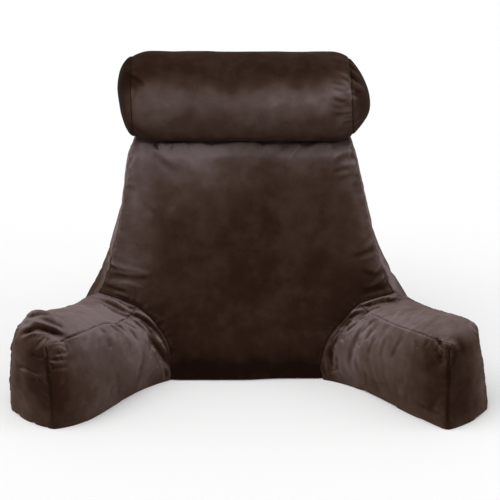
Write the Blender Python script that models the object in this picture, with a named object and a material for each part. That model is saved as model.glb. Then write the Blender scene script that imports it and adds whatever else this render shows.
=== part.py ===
"""A reading pillow: a leaning backrest, two splayed arms, a neck roll and a patch pocket.

Metres, +Z up. The front faces -Y, and the origin lies on the floor under the middle of the
whole pillow's box. Every cushion starts as a lattice of a few faces whose corners are placed
from the tables below, with sharp edges along its seams, and a subdivision surface rounds it.
"""

from collections import namedtuple
from math import exp, pi, radians, sin, tan

import bmesh
import bpy
from mathutils import Matrix, Vector
from mathutils.bvhtree import BVHTree

# Driving dimensions
BOX_SHIFT = Vector((-0.0039, 0.0049, 0.0))  # puts the whole box's middle on the origin
LEAN = radians(14.0)            # front panel, from the vertical
FRONT_FOOT_Y = -0.023           # front panel's plane, where it meets the floor
TOUCH_GAP = 0.0003              # between two cushions that are sewn or lie together
SURFACE_LEVELS = 2              # subdivision of the lattice

ROLL_LENGTH = 0.508             # over both domed ends
ROLL_RADIUS = 0.0905
ROLL_CENTRE = Vector((-0.006, 0.128, 0.562))
ROLL_SIDES = 40
ROLL_SEAT = 0.0008              # how far the pressed top stays clear of the roll's round

# Backrest: one row for each level, from the floor up. half_* are half widths at the seams,
# bulge is how far the side gusset stands out past them, crown how far the panel's middle does.
# shift moves the level sideways, because the backrest leans a little to its right.
Level = namedtuple("Level", "z_front half_front z_back half_back y_back bulge crown shift")
LEVELS = (
    Level(0.000, 0.300, 0.000, 0.278, 0.172, 0.004, -0.004, 0.000),
    Level(0.056, 0.300, 0.060, 0.290, 0.188, 0.010, 0.010, 0.000),
    Level(0.115, 0.300, 0.120, 0.290, 0.196, 0.010, 0.018, 0.000),
    Level(0.178, 0.305, 0.185, 0.276, 0.202, 0.012, 0.026, 0.000),
    Level(0.250, 0.273, 0.262, 0.258, 0.208, 0.006, 0.032, -0.005),
    Level(0.335, 0.250, 0.348, 0.238, 0.214, 0.000, 0.032, -0.005),
    Level(0.418, 0.238, 0.430, 0.226, 0.218, -0.002, 0.024, -0.009),
    Level(0.474, 0.227, 0.496, 0.210, 0.214, -0.006, 0.006, -0.010),
)
COLUMNS = (-1.0, -0.72, -0.46, -0.20, 0.0, 0.20, 0.46, 0.72, 1.0)
ARM_TOP_ROW = 3                 # level where the arm's top meets the backrest
ROOT_COLUMNS = 2                # columns of the front panel's lattice that the arm covers
ARM_STEPS = 4                   # lattice steps from an arm's root to its tip
TOP_DIP = 0.034                 # how deep the roll sits into the backrest's top

# Arc seam and the arm's root: each point is across (away from the middle), back past the front
# panel's plane, and up. A row of the lattice runs from the inner to the outer point.
ROOT_ROWS = (
    ((0.148, 0.000, 0.000), (0.245, 0.010, 0.000), (0.338, 0.054, 0.000)),
    ((0.153, 0.000, 0.056), (0.250, 0.010, 0.060), (0.350, 0.054, 0.064)),
    ((0.173, 0.000, 0.106), (0.258, 0.008, 0.115), (0.342, 0.044, 0.122)),
    ((0.228, 0.000, 0.155), (0.268, 0.000, 0.167), (0.305, 0.002, 0.176)),
)

# Arm: one row for each station from near the root to the tip, at the floor and at the top seams.
Station = namedtuple("Station", "inner outer top_inner top_outer z_inner z_outer crown swell")
LEFT_STATIONS = (
    Station((0.206, -0.058), (0.384, -0.014), (0.252, -0.052), (0.344, -0.004), 0.160, 0.165, 0.004, 0.008),
    Station((0.262, -0.136), (0.420, -0.066), (0.290, -0.118), (0.384, -0.048), 0.166, 0.169, 0.010, 0.010),
    Station((0.314, -0.222), (0.450, -0.116), (0.336, -0.182), (0.426, -0.092), 0.172, 0.184, 0.036, 0.012),
    Station((0.374, -0.242), (0.469, -0.154), (0.386, -0.230), (0.455, -0.138), 0.174, 0.181, 0.016, 0.006),
)
RIGHT_STATIONS = (
    Station((0.206, -0.044), (0.386, -0.014), (0.252, -0.052), (0.344, -0.004), 0.160, 0.169, 0.006, 0.008),
    Station((0.264, -0.102), (0.424, -0.066), (0.290, -0.114), (0.382, -0.048), 0.166, 0.168, 0.010, 0.010),
    Station((0.322, -0.182), (0.458, -0.118), (0.338, -0.172), (0.426, -0.092), 0.172, 0.174, 0.016, 0.012),
    Station((0.386, -0.240), (0.480, -0.152), (0.388, -0.226), (0.456, -0.138), 0.174, 0.180, 0.010, 0.001),
)
TIP_SWELL = 0.010               # how far the end panel stands out at its middle
TIP_FOOT_SWELL = 0.016          # and along the floor

# Neck roll's ends: radius of the seam, depth of the dome past it, how full the dome is, how far
# it peaks above the axis, and how far the end slips sideways for each unit down.
RollEnd = namedtuple("RollEnd", "seam_radius dome fullness apex slant")
LEFT_END = RollEnd(0.081, 0.031, 1.9, 0.014, 0.020)
RIGHT_END = RollEnd(0.078, 0.031, 1.0, -0.010, 0.065)
ROLL_SHOULDER = 0.036           # length over which the roll swells from a seam to its full radius

# Patch pocket on the left arm's outer side, sewn flat along its sides and foot.
POCKET_FOOT = Vector((-0.468, -0.150, 0.0))  # under the pocket's front edge, at the arm's tip
POCKET_HEADING = Vector((0.46, 0.89, 0.0)).normalized()  # along the arm's side, towards the back
POCKET_START = 0.004            # from that point to its front edge, at its foot
POCKET_RAKE = 0.13              # the front edge runs up beside the tip's seam, which leans back
POCKET_LENGTH = 0.135
POCKET_BOTTOM = 0.036
POCKET_HEIGHT = 0.096
POCKET_THICKNESS = 0.0025
POCKET_HEM = 0.014              # width of the doubled hem along the mouth
POCKET_HEM_THICKNESS = 0.0038
POCKET_GAP = 0.0005
POCKET_MOUTH_SLACK = 0.0016     # how far the mouth's middle stands off
POCKET_EDGE_SLACK = 0.0026      # and the front edge, which the arm's seam lifts
POCKET_CELLS = (18, 11)         # along and up

# Main folds: a valley runs from start over bend to end in the cushion's skin.
Fold = namedtuple("Fold", "cushion start bend end width depth")
FOLDS = (
    Fold("arm_left", (-0.432, -0.128, 0.174), (-0.392, -0.172, 0.180), (-0.354, -0.190, 0.172), 0.017, 0.011),
    Fold("arm_left", (-0.408, -0.078, 0.176), (-0.384, -0.122, 0.188), (-0.360, -0.144, 0.184), 0.014, 0.007),
    Fold("arm_left", (-0.278, -0.020, 0.165), (-0.226, -0.020, 0.141), (-0.188, -0.015, 0.099), 0.014, 0.009),
    Fold("arm_left", (-0.199, -0.028, 0.097), (-0.178, -0.024, 0.068), (-0.166, -0.024, 0.041), 0.012, 0.005),
    Fold("arm_left", (-0.447, -0.168, 0.104), (-0.420, -0.198, 0.107), (-0.388, -0.230, 0.118), 0.012, 0.004),
    Fold("arm_left", (-0.379, -0.232, 0.142), (-0.358, -0.218, 0.138), (-0.335, -0.202, 0.132), 0.012, 0.004),
    Fold("arm_right", (0.234, -0.008, 0.157), (0.264, -0.012, 0.164), (0.305, -0.014, 0.170), 0.014, 0.012),
    Fold("arm_right", (0.195, -0.008, 0.118), (0.211, -0.006, 0.135), (0.232, -0.013, 0.150), 0.013, 0.009),
    Fold("arm_right", (0.182, -0.014, 0.094), (0.176, -0.021, 0.061), (0.179, -0.030, 0.029), 0.012, 0.006),
    Fold("arm_right", (0.249, -0.061, 0.142), (0.238, -0.056, 0.120), (0.226, -0.052, 0.099), 0.012, 0.004),
    Fold("arm_right", (0.364, -0.198, 0.166), (0.371, -0.211, 0.152), (0.367, -0.212, 0.130), 0.014, 0.006),
    Fold("backrest", (0.292, 0.022, 0.190), (0.262, 0.020, 0.186), (0.222, 0.010, 0.176), 0.015, 0.010),
    Fold("backrest", (0.276, 0.036, 0.232), (0.246, 0.026, 0.224), (0.206, 0.014, 0.212), 0.015, 0.005),
    Fold("backrest", (-0.292, 0.024, 0.196), (-0.262, 0.018, 0.190), (-0.222, 0.008, 0.178), 0.015, 0.010),
    Fold("backrest", (-0.284, 0.034, 0.222), (-0.250, 0.024, 0.216), (-0.196, 0.010, 0.206), 0.015, 0.007),
    Fold("backrest", (-0.276, 0.040, 0.248), (-0.246, 0.032, 0.240), (-0.206, 0.018, 0.232), 0.014, 0.005),
    Fold("backrest", (0.214, 0.094, 0.470), (0.194, 0.088, 0.455), (0.166, 0.078, 0.432), 0.014, 0.006),
    Fold("backrest", (-0.190, 0.094, 0.472), (-0.180, 0.089, 0.460), (-0.168, 0.086, 0.452), 0.012, 0.007),
)

FOLD_REACH = 1.5                # facets nearer to a fold than this many widths are cut finer

Colour = namedtuple("Colour", "red green blue")
BROWN_PLUSH = Colour(0.060, 0.036, 0.028)
ROLL_PLUSH = Colour(0.066, 0.040, 0.031)
POCKET_PLUSH = Colour(0.052, 0.031, 0.024)


def clear_scene():
    """Remove what the scene holds."""
    for item in list(bpy.data.objects):
        bpy.data.objects.remove(item, do_unlink=True)


def plush(name, colour):
    """A soft brown fabric."""
    material = bpy.data.materials.new(name)
    material.use_nodes = True
    shader = material.node_tree.nodes["Principled BSDF"]
    shader.inputs["Base Color"].default_value = (*colour, 1.0)
    shader.inputs["Roughness"].default_value = 0.85
    shader.inputs["Metallic"].default_value = 0.0
    return material


def front_plane(z):
    """How far back the front panel's plane lies at a height."""
    return FRONT_FOOT_Y + z * tan(LEAN)


def lattice_block(columns, layers, rows):
    """A closed block of unit cells, grown from one grid: X by Y by Z."""
    block = bmesh.new()
    bmesh.ops.create_grid(block, x_segments=columns, y_segments=rows, size=1.0)
    for vert in block.verts:
        vert.co = Vector(((vert.co.x + 1.0) * columns / 2.0, 0.0, (vert.co.y + 1.0) * rows / 2.0))
    skin = block.faces[:]
    for layer in range(layers):
        grown = bmesh.ops.extrude_face_region(block, geom=skin)["geom"]
        if layer:
            bmesh.ops.delete(block, geom=skin, context="FACES")
        verts = [item for item in grown if isinstance(item, bmesh.types.BMVert)]
        skin = [item for item in grown if isinstance(item, bmesh.types.BMFace)]
        bmesh.ops.translate(block, verts=verts, vec=(0.0, 1.0, 0.0))
    bmesh.ops.recalc_face_normals(block, faces=block.faces[:])
    return block


def shape_block(block, place, is_seam, is_corner):
    """Move a block's lattice corners to their places and sharpen its seams."""
    edge_crease = block.edges.layers.float.new("crease_edge")
    vert_crease = block.verts.layers.float.new("crease_vert")
    cell = {vert: tuple(round(value) for value in vert.co) for vert in block.verts}
    for edge in block.edges:
        edge[edge_crease] = 1.0 if is_seam(*(cell[vert] for vert in edge.verts)) else 0.0
    for vert in block.verts:
        vert[vert_crease] = 1.0 if is_corner(*cell[vert]) else 0.0
    for vert, lattice_place in cell.items():
        vert.co = place(*lattice_place)
    bmesh.ops.recalc_face_normals(block, faces=block.faces[:])
    if block.calc_volume(signed=True) < 0.0:
        bmesh.ops.reverse_faces(block, faces=block.faces[:])


def finished(block, name, material):
    """Make an object of a block that is already in its place."""
    mesh = bpy.data.meshes.new(name)
    block.to_mesh(mesh)
    block.free()
    mesh.materials.append(material)
    mesh.shade_smooth()
    thing = bpy.data.objects.new(name, mesh)
    bpy.context.collection.objects.link(thing)
    return thing


def gap_to_line(point, start, end):
    """Distance from a point to a straight stretch."""
    stretch = end - start
    share = min(max((point - start).dot(stretch) / stretch.length_squared, 0.0), 1.0)
    return (point - start - stretch * share).length


def gap_to_fold(point, fold):
    """Distance from a point to a fold, as a multiple of the fold's width."""
    start, bend, end = (Vector(place) + BOX_SHIFT for place in (fold.start, fold.bend, fold.end))
    return min(gap_to_line(point, start, bend), gap_to_line(point, bend, end)) / fold.width


def press_folds(name, mesh):
    """Cut the facets near a cushion's main folds finer and press the folds into its skin."""
    folds = [fold for fold in FOLDS if fold.cushion == name]
    skin = bmesh.new()
    skin.from_mesh(mesh)
    near = [edge for edge in skin.edges
            if any(gap_to_fold((edge.verts[0].co + edge.verts[1].co) / 2.0, fold) < FOLD_REACH
                   for fold in folds)]
    bmesh.ops.subdivide_edges(skin, edges=near, cuts=1, use_grid_fill=True)
    bmesh.ops.triangulate(skin, faces=[face for face in skin.faces if len(face.verts) > 4])
    skin.normal_update()
    press = {vert: sum(fold.depth * exp(-gap_to_fold(vert.co, fold) ** 2) for fold in folds)
             for vert in skin.verts}
    shifts = {vert: vert.normal * -depth for vert, depth in press.items()}
    for vert, shift in shifts.items():
        vert.co += shift
        vert.co.z = max(vert.co.z, 0.0)
    skin.to_mesh(mesh)
    skin.free()


def surfaced(block, name, material):
    """Round a block with a subdivision surface and press its folds in."""
    mesh = bpy.data.meshes.new(name)
    block.to_mesh(mesh)
    block.free()
    thing = bpy.data.objects.new(name, mesh)
    bpy.context.collection.objects.link(thing)
    surface = thing.modifiers.new("surface", "SUBSURF")
    surface.levels = SURFACE_LEVELS
    surface.render_levels = SURFACE_LEVELS
    surface.boundary_smooth = "ALL"
    graph = bpy.context.evaluated_depsgraph_get()
    rounded = bpy.data.meshes.new_from_object(thing.evaluated_get(graph))
    thing.modifiers.clear()
    rounded.name = name
    rounded.transform(Matrix.Translation(BOX_SHIFT))
    press_folds(name, rounded)
    thing.data = rounded
    rounded.materials.append(material)
    rounded.shade_smooth()
    return thing


def root_point(side, row, column):
    """A point of the face that an arm and the backrest share, from the inner to the outer side."""
    across, back, up = ROOT_ROWS[row][column]
    return Vector((side * across, front_plane(up) + back, up))


def backrest_point(column, layer, row):
    """Where a corner of the backrest's lattice goes; layer 0 is the front and 2 the back."""
    level = LEVELS[row]
    share = COLUMNS[column]
    side = -1.0 if share < 0.0 else 1.0
    from_edge = min(column, len(COLUMNS) - 1 - column)
    on_root = row <= ARM_TOP_ROW and from_edge <= ROOT_COLUMNS
    if on_root:
        front = root_point(side, row, ROOT_COLUMNS - from_edge)
    else:
        crown = level.crown * (1.0 - share * share)
        across = share * level.half_front + level.shift
        front = Vector((across, front_plane(level.z_front) - crown, level.z_front))
    rear_crown = 0.6 * level.crown * (1.0 - share * share)
    rear = Vector((share * level.half_back + level.shift, level.y_back + rear_crown, level.z_back))
    if layer == 0:
        return front
    if layer == 2:
        return rear
    middle = (front + rear) / 2.0
    if from_edge == 0:
        widest = max(side * front.x, side * rear.x)
        middle.x = side * (widest + level.bulge)
    if row == len(LEVELS) - 1:
        middle.z -= TOP_DIP * (1.0 - share ** 6)
    return middle


def backrest_seam(first, second):
    """Seams: base, side, top, and the edge of each arm's root."""
    last_column = len(COLUMNS) - 1
    top = len(LEVELS) - 1
    both = (first, second)
    at_side = all(cell[0] in (0, last_column) for cell in both) and first[0] == second[0]
    at_skin = all(cell[1] in (0, 2) for cell in both) and first[1] == second[1]
    on_base = all(cell[2] == 0 for cell in both) and (at_side or at_skin)
    on_top = all(cell[2] == top for cell in both) and (at_side or at_skin)
    up_side = at_side and at_skin
    in_front = all(cell[1] == 0 for cell in both)
    inner_root = all(cell[0] in (ROOT_COLUMNS, last_column - ROOT_COLUMNS) for cell in both)
    up_root = in_front and inner_root and first[0] == second[0] and max(first[2], second[2]) <= ARM_TOP_ROW
    from_edges = [min(cell[0], last_column - cell[0]) for cell in both]
    over_root = in_front and max(from_edges) <= ROOT_COLUMNS and first[2] == second[2] == ARM_TOP_ROW
    return on_base or on_top or up_side or up_root or over_root


def backrest_corner(column, layer, row):
    """The seam around an arm's root turns sharply where the arm's inner top seam meets it."""
    from_edge = min(column, len(COLUMNS) - 1 - column)
    return layer == 0 and row == ARM_TOP_ROW and from_edge == ROOT_COLUMNS


def press_under_roll(cushion):
    """Push the backrest's top down to the roll that lies on it."""
    reach = ROLL_RADIUS + ROLL_SEAT
    for vert in cushion.data.vertices:
        from_axis = vert.co - ROLL_CENTRE - BOX_SHIFT
        from_axis.x = 0.0
        if from_axis.length < reach:
            vert.co += from_axis.normalized() * (reach - from_axis.length)


def make_backrest(material):
    """The filled backrest."""
    block = lattice_block(len(COLUMNS) - 1, 2, len(LEVELS) - 1)
    shape_block(block, backrest_point, backrest_seam, backrest_corner)
    backrest = surfaced(block, "backrest", material)
    press_under_roll(backrest)
    return backrest


def arm_point(side, column, step, row):
    """Where a corner of an arm's lattice goes; step 0 is the root, and the last one the tip."""
    if step == 0:
        return root_point(side, row, column) - Vector((0.0, TOUCH_GAP, 0.0))
    station = (LEFT_STATIONS if side < 0.0 else RIGHT_STATIONS)[step - 1]
    rise = row / ARM_TOP_ROW
    inner = Vector((*station.inner, 0.0)).lerp(Vector((*station.top_inner, station.z_inner)), rise)
    outer = Vector((*station.outer, 0.0)).lerp(Vector((*station.top_outer, station.z_outer)), rise)
    across = (outer - inner).normalized()
    along = Vector((across.y, -across.x, 0.0))
    point = inner.lerp(outer, column / ROOT_COLUMNS)
    between_seams = 0 < row < ARM_TOP_ROW
    if between_seams and column != 1:
        point += across * station.swell * (column - 1)
    if row == ARM_TOP_ROW and column == 1:
        point.z += station.crown
    if step == ARM_STEPS and column == 1 and row < ARM_TOP_ROW:
        point += along * (TIP_SWELL if row else TIP_FOOT_SWELL)
    point.x *= side
    return point


def arm_seam(first, second):
    """Seams: base, root, both edges of the top strip and both upright ones at the tip."""
    last_step = ARM_STEPS
    both = (first, second)
    at_edge = first[0] == second[0] and first[0] in (0, ROOT_COLUMNS)
    at_end = first[1] == second[1] and first[1] in (0, last_step)
    on_base = first[2] == second[2] == 0 and (at_edge or at_end)
    on_top = first[2] == second[2] == ARM_TOP_ROW and at_edge
    upright = first[2] != second[2] and at_edge and at_end
    over_root = all(cell[1] == 0 and cell[2] == ARM_TOP_ROW for cell in both)
    return on_base or on_top or upright or over_root


def arm_corner(column, step, row):
    """The top strip's corner over the inner tip seam stays pointed."""
    return column == 0 and step == ARM_STEPS and row == ARM_TOP_ROW


def make_arm(name, side, material):
    """One filled arm; side is -1 on the left and 1 on the right."""
    block = lattice_block(ROOT_COLUMNS, ARM_STEPS, ARM_TOP_ROW)
    shape_block(block, lambda *cell: arm_point(side, *cell), arm_seam, arm_corner)
    return surfaced(block, name, material)


def roll_half(end):
    """Half of the roll's outline, from its middle to a pole: distance along and radius."""
    seam = ROLL_LENGTH / 2.0 - end.dome
    swell = ROLL_RADIUS - end.seam_radius
    body = [(seam * step / 6.0, ROLL_RADIUS) for step in range(1, 5)]
    shoulder = [(seam - ROLL_SHOULDER * share, end.seam_radius + swell * (1.0 - (1.0 - share) ** 2))
                for share in (1.0, 0.35)]
    dome = [(seam + end.dome * (1.0 - share * share) ** (1.0 / end.fullness), end.seam_radius * share)
            for share in (1.0, 0.92, 0.78, 0.55, 0.3, 0.0)]
    return body + shoulder + dome


def roll_profile():
    """The roll's whole outline, from its left pole to its right one."""
    left = [(-along, radius) for along, radius in reversed(roll_half(LEFT_END))]
    return left + [(0.0, ROLL_RADIUS)] + roll_half(RIGHT_END)


def make_roll(material):
    """The neck roll, turned about its length."""
    block = bmesh.new()
    verts = [block.verts.new((along, 0.0, radius)) for along, radius in roll_profile()]
    edges = [block.edges.new(pair) for pair in zip(verts, verts[1:])]
    bmesh.ops.spin(block, geom=verts + edges, cent=(0.0, 0.0, 0.0), axis=(1.0, 0.0, 0.0),
                   angle=2.0 * pi, steps=ROLL_SIDES, use_merge=True)
    bmesh.ops.remove_doubles(block, verts=block.verts[:], dist=1.0e-5)
    for vert in block.verts:
        end = LEFT_END if vert.co.x < 0.0 else RIGHT_END
        outwards = abs(vert.co.x) / (ROLL_LENGTH / 2.0)
        if abs(vert.co.x) > ROLL_LENGTH / 2.0 - end.dome:
            vert.co.z += end.apex * (1.0 - vert.co.yz.length / end.seam_radius)
        vert.co.x -= end.slant * outwards * vert.co.z
    bmesh.ops.translate(block, verts=block.verts[:], vec=ROLL_CENTRE + BOX_SHIFT)
    bmesh.ops.recalc_face_normals(block, faces=block.faces[:])
    return finished(block, "neck_roll", material)


def make_pocket(arm, material):
    """The patch pocket: a thin sheet that follows the arm's side, with a doubled hem at its mouth."""
    outwards = Vector((-POCKET_HEADING.y, POCKET_HEADING.x, 0.0))
    side = BVHTree.FromObject(arm, bpy.context.evaluated_depsgraph_get())
    sheet = bmesh.new()
    bmesh.ops.create_grid(sheet, x_segments=POCKET_CELLS[0], y_segments=POCKET_CELLS[1], size=0.5)
    hem_start = 1.0 - POCKET_HEM / POCKET_HEIGHT
    for vert in sheet.verts:
        along, up = vert.co.x + 0.5, vert.co.y + 0.5
        height = up * POCKET_HEIGHT
        reach = POCKET_START + POCKET_RAKE * height + along * POCKET_LENGTH
        start = POCKET_FOOT + BOX_SHIFT + POCKET_HEADING * reach
        start.z = POCKET_BOTTOM + height
        touched = side.ray_cast(start + outwards * 0.1, -outwards)[0]
        slack = POCKET_MOUTH_SLACK * up * up * sin(pi * along) + POCKET_EDGE_SLACK * (1.0 - along) ** 8
        vert.co = touched + outwards * (POCKET_GAP + slack)
    outer = bmesh.ops.extrude_face_region(sheet, geom=sheet.faces[:])["geom"]
    outer = [item for item in outer if isinstance(item, bmesh.types.BMVert)]
    mouth = POCKET_BOTTOM + hem_start * POCKET_HEIGHT
    for vert in outer:
        hemmed = vert.co.z > mouth
        vert.co += outwards * (POCKET_HEM_THICKNESS if hemmed else POCKET_THICKNESS)
    bmesh.ops.recalc_face_normals(sheet, faces=sheet.faces[:])
    return finished(sheet, "pocket_left", material)


def main():
    """Build the whole pillow."""
    clear_scene()
    brown = plush("brown_plush", BROWN_PLUSH)
    make_backrest(brown)
    arm_left = make_arm("arm_left", -1.0, brown)
    make_arm("arm_right", 1.0, brown)
    make_roll(plush("roll_plush", ROLL_PLUSH))
    make_pocket(arm_left, plush("pocket_plush", POCKET_PLUSH))


main()
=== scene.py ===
"""The looks of a plush reading pillow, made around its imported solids.

Metres, +Z up, and the front faces -Y, as in the solids. Each filled cushion starts as a copy of
its solid's skin, is rounded, blown up by a cloth simulation with its seams held, and then gets
its seams, puckers and folds. The roll and the patch pocket are modelled here.
"""

import logging
import math
from dataclasses import dataclass, field
from enum import Enum
from typing import Iterable, Sequence

import bmesh
import bpy
import numpy as np
from mathutils import Matrix, Vector, noise
from mathutils.bvhtree import BVHTree
from mathutils.kdtree import KDTree


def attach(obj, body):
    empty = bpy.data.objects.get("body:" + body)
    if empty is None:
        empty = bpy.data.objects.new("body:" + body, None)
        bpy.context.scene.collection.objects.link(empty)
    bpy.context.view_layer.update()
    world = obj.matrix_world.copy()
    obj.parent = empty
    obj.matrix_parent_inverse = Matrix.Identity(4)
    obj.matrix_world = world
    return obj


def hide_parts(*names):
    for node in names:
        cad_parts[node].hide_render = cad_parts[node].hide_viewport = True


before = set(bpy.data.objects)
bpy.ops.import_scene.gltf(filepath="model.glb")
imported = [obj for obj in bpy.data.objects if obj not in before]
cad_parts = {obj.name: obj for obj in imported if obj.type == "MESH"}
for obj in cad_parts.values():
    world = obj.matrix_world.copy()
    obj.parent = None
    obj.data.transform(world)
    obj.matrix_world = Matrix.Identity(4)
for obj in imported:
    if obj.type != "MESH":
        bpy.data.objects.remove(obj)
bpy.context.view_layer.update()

MM = 0.001
MERGE = 0.01 * MM
ROOT = "root"

Colour = tuple[float, float, float]
Place = tuple[float, float, float]

# Places on the pillow are in millimetres as read in a view, whose origin is here in the part's frame.
READ_FROM = Vector((-0.0039, 0.0049, 0.0))
ROLL_CENTRE: Place = (-6, 128, 562)

log = logging.getLogger("reading_pillow")


class Group(Enum):
    """Vertex groups that a cushion's mesh carries."""

    SEAM = "seam"
    HELD = "held"


class Mark(Enum):
    """What a mesh says of each corner, for its material to read."""

    # How pale the cloth is painted: the pile's lie together with painted light and shade.
    PILE_AND_PAINTED_LIGHT = "pile_and_painted_light"
    SEAM_GAP = "seam_gap"


# ---------------------------------------------------------------------------------------------
# Cloth finish
# ---------------------------------------------------------------------------------------------


class NodeSheet:
    """A node tree with short ways to add and join nodes."""

    def __init__(self, tree: bpy.types.NodeTree) -> None:
        """Start on a tree.

        Args:
            tree: A material's or a group's node tree.
        """
        self.tree = tree

    def add(self, kind: str, place: tuple[float, float], **settings: object) -> bpy.types.Node:
        """Add a node.

        Args:
            kind: The node's type name.
            place: Where it lies in the editor.
            settings: Properties to set on it.

        Returns:
            The new node.
        """
        node = self.tree.nodes.new(kind)
        node.location = place
        for name, value in settings.items():
            setattr(node, name, value)
        return node

    def join(self, source: bpy.types.NodeSocket, target: bpy.types.NodeSocket) -> None:
        """Join an output to an input."""
        self.tree.links.new(source, target)

    def noise(self, vector: bpy.types.NodeSocket, scale: float, detail: float, rough: float,
              place: tuple[float, float], distortion: float = 0.0) -> bpy.types.NodeSocket:
        """Add a noise texture.

        Args:
            vector: Where its coordinates come from.
            scale: Cells for each metre.
            detail: Octaves.
            rough: How strong the finer octaves are.
            place: Where it lies in the editor.
            distortion: How far the pattern is stirred.

        Returns:
            Its factor output.
        """
        node = self.add("ShaderNodeTexNoise", place)
        node.inputs["Scale"].default_value = scale
        node.inputs["Detail"].default_value = detail
        node.inputs["Roughness"].default_value = rough
        node.inputs["Distortion"].default_value = distortion
        self.join(vector, node.inputs["Vector"])
        return node.outputs["Fac"]

    def math(self, operation: str, first: bpy.types.NodeSocket | float,
             second: bpy.types.NodeSocket | float, place: tuple[float, float],
             clamp: bool = False) -> bpy.types.NodeSocket:
        """Add a math node.

        Args:
            operation: Its operation.
            first: Its first value, or the socket that gives it.
            second: The same for its second value.
            place: Where it lies in the editor.
            clamp: Whether the result is held between 0 and 1.

        Returns:
            Its output.
        """
        node = self.add("ShaderNodeMath", place, operation=operation, use_clamp=clamp)
        for socket, value in zip(node.inputs, (first, second)):
            if isinstance(value, bpy.types.NodeSocket):
                self.join(value, socket)
            else:
                socket.default_value = value
        return node.outputs["Value"]

    def spread(self, value: bpy.types.NodeSocket, low: float, high: float,
               place: tuple[float, float]) -> bpy.types.NodeSocket:
        """Stretch the values from low to high over 0 to 1, smoothly.

        Args:
            value: The socket that gives the value.
            low: What becomes 0.
            high: What becomes 1.
            place: Where the node lies in the editor.

        Returns:
            Its output.
        """
        node = self.add("ShaderNodeMapRange", place, interpolation_type="SMOOTHSTEP")
        node.inputs["From Min"].default_value = low
        node.inputs["From Max"].default_value = high
        self.join(value, node.inputs["Value"])
        return node.outputs["Result"]

    def mix(self, factor: bpy.types.NodeSocket, first: bpy.types.NodeSocket | Colour,
            second: bpy.types.NodeSocket | Colour, place: tuple[float, float]) -> bpy.types.NodeSocket:
        """Mix two colours.

        Args:
            factor: The socket that gives the second one's share.
            first: A colour, or the socket that gives it.
            second: The same.
            place: Where the node lies in the editor.

        Returns:
            Its output.
        """
        node = self.add("ShaderNodeMix", place, data_type="RGBA")
        self.join(factor, node.inputs[0])
        for socket, value in zip((node.inputs[6], node.inputs[7]), (first, second)):
            if isinstance(value, bpy.types.NodeSocket):
                self.join(value, socket)
            else:
                socket.default_value = (*value, 1.0)
        return node.outputs[2]


class NapGroup:
    """Shared effect: how a combed pile lies, as a mottle, small scuffs and a height.

    The scales are in cells for each metre.
    """

    NAME = "plush_nap"
    BROAD_SCALE = 7.0
    STROKE_SCALE = 38.0
    MARK_SCALE = 90.0
    PILE_SCALE = 1300.0

    @classmethod
    def tree(cls) -> bpy.types.NodeTree:
        """The group's node tree, built the first time it is asked for."""
        return bpy.data.node_groups.get(cls.NAME) or cls.build()

    @classmethod
    def build(cls) -> bpy.types.NodeTree:
        """Build the group.

        Returns:
            The new node tree.
        """
        tree = bpy.data.node_groups.new(cls.NAME, "ShaderNodeTree")
        tree.interface.new_socket("Vector", in_out="INPUT", socket_type="NodeSocketVector")
        for name in ("Mottle", "Scuffs", "Height"):
            tree.interface.new_socket(name, in_out="OUTPUT", socket_type="NodeSocketFloat")
        sheet = NodeSheet(tree)
        vector = sheet.add("NodeGroupInput", (-1000, 0)).outputs["Vector"]
        broad = sheet.noise(vector, cls.BROAD_SCALE, 3.0, 0.5, (-800, 300), 0.2)
        strokes = sheet.noise(vector, cls.STROKE_SCALE, 4.0, 0.55, (-800, 100))
        marks = sheet.noise(vector, cls.MARK_SCALE, 3.0, 0.5, (-800, -100))
        pile = sheet.noise(vector, cls.PILE_SCALE, 2.0, 0.5, (-800, -300))
        mixed = sheet.math("MULTIPLY", broad, 0.6, (-600, 300))
        mixed = sheet.math("ADD", mixed, sheet.math("MULTIPLY", strokes, 0.4, (-600, 100)), (-400, 200))
        mottle = sheet.spread(mixed, 0.34, 0.66, (-200, 200))
        scuffs = sheet.spread(marks, 0.55, 0.80, (-600, -100))
        height = sheet.math("MULTIPLY", pile, 0.4, (-600, -300))
        height = sheet.math("ADD", height, sheet.math("MULTIPLY", strokes, 0.6, (-600, -450)), (-400, -300))
        end = sheet.add("NodeGroupOutput", (200, 0))
        sheet.join(mottle, end.inputs["Mottle"])
        sheet.join(scuffs, end.inputs["Scuffs"])
        sheet.join(height, end.inputs["Height"])
        return tree


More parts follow.
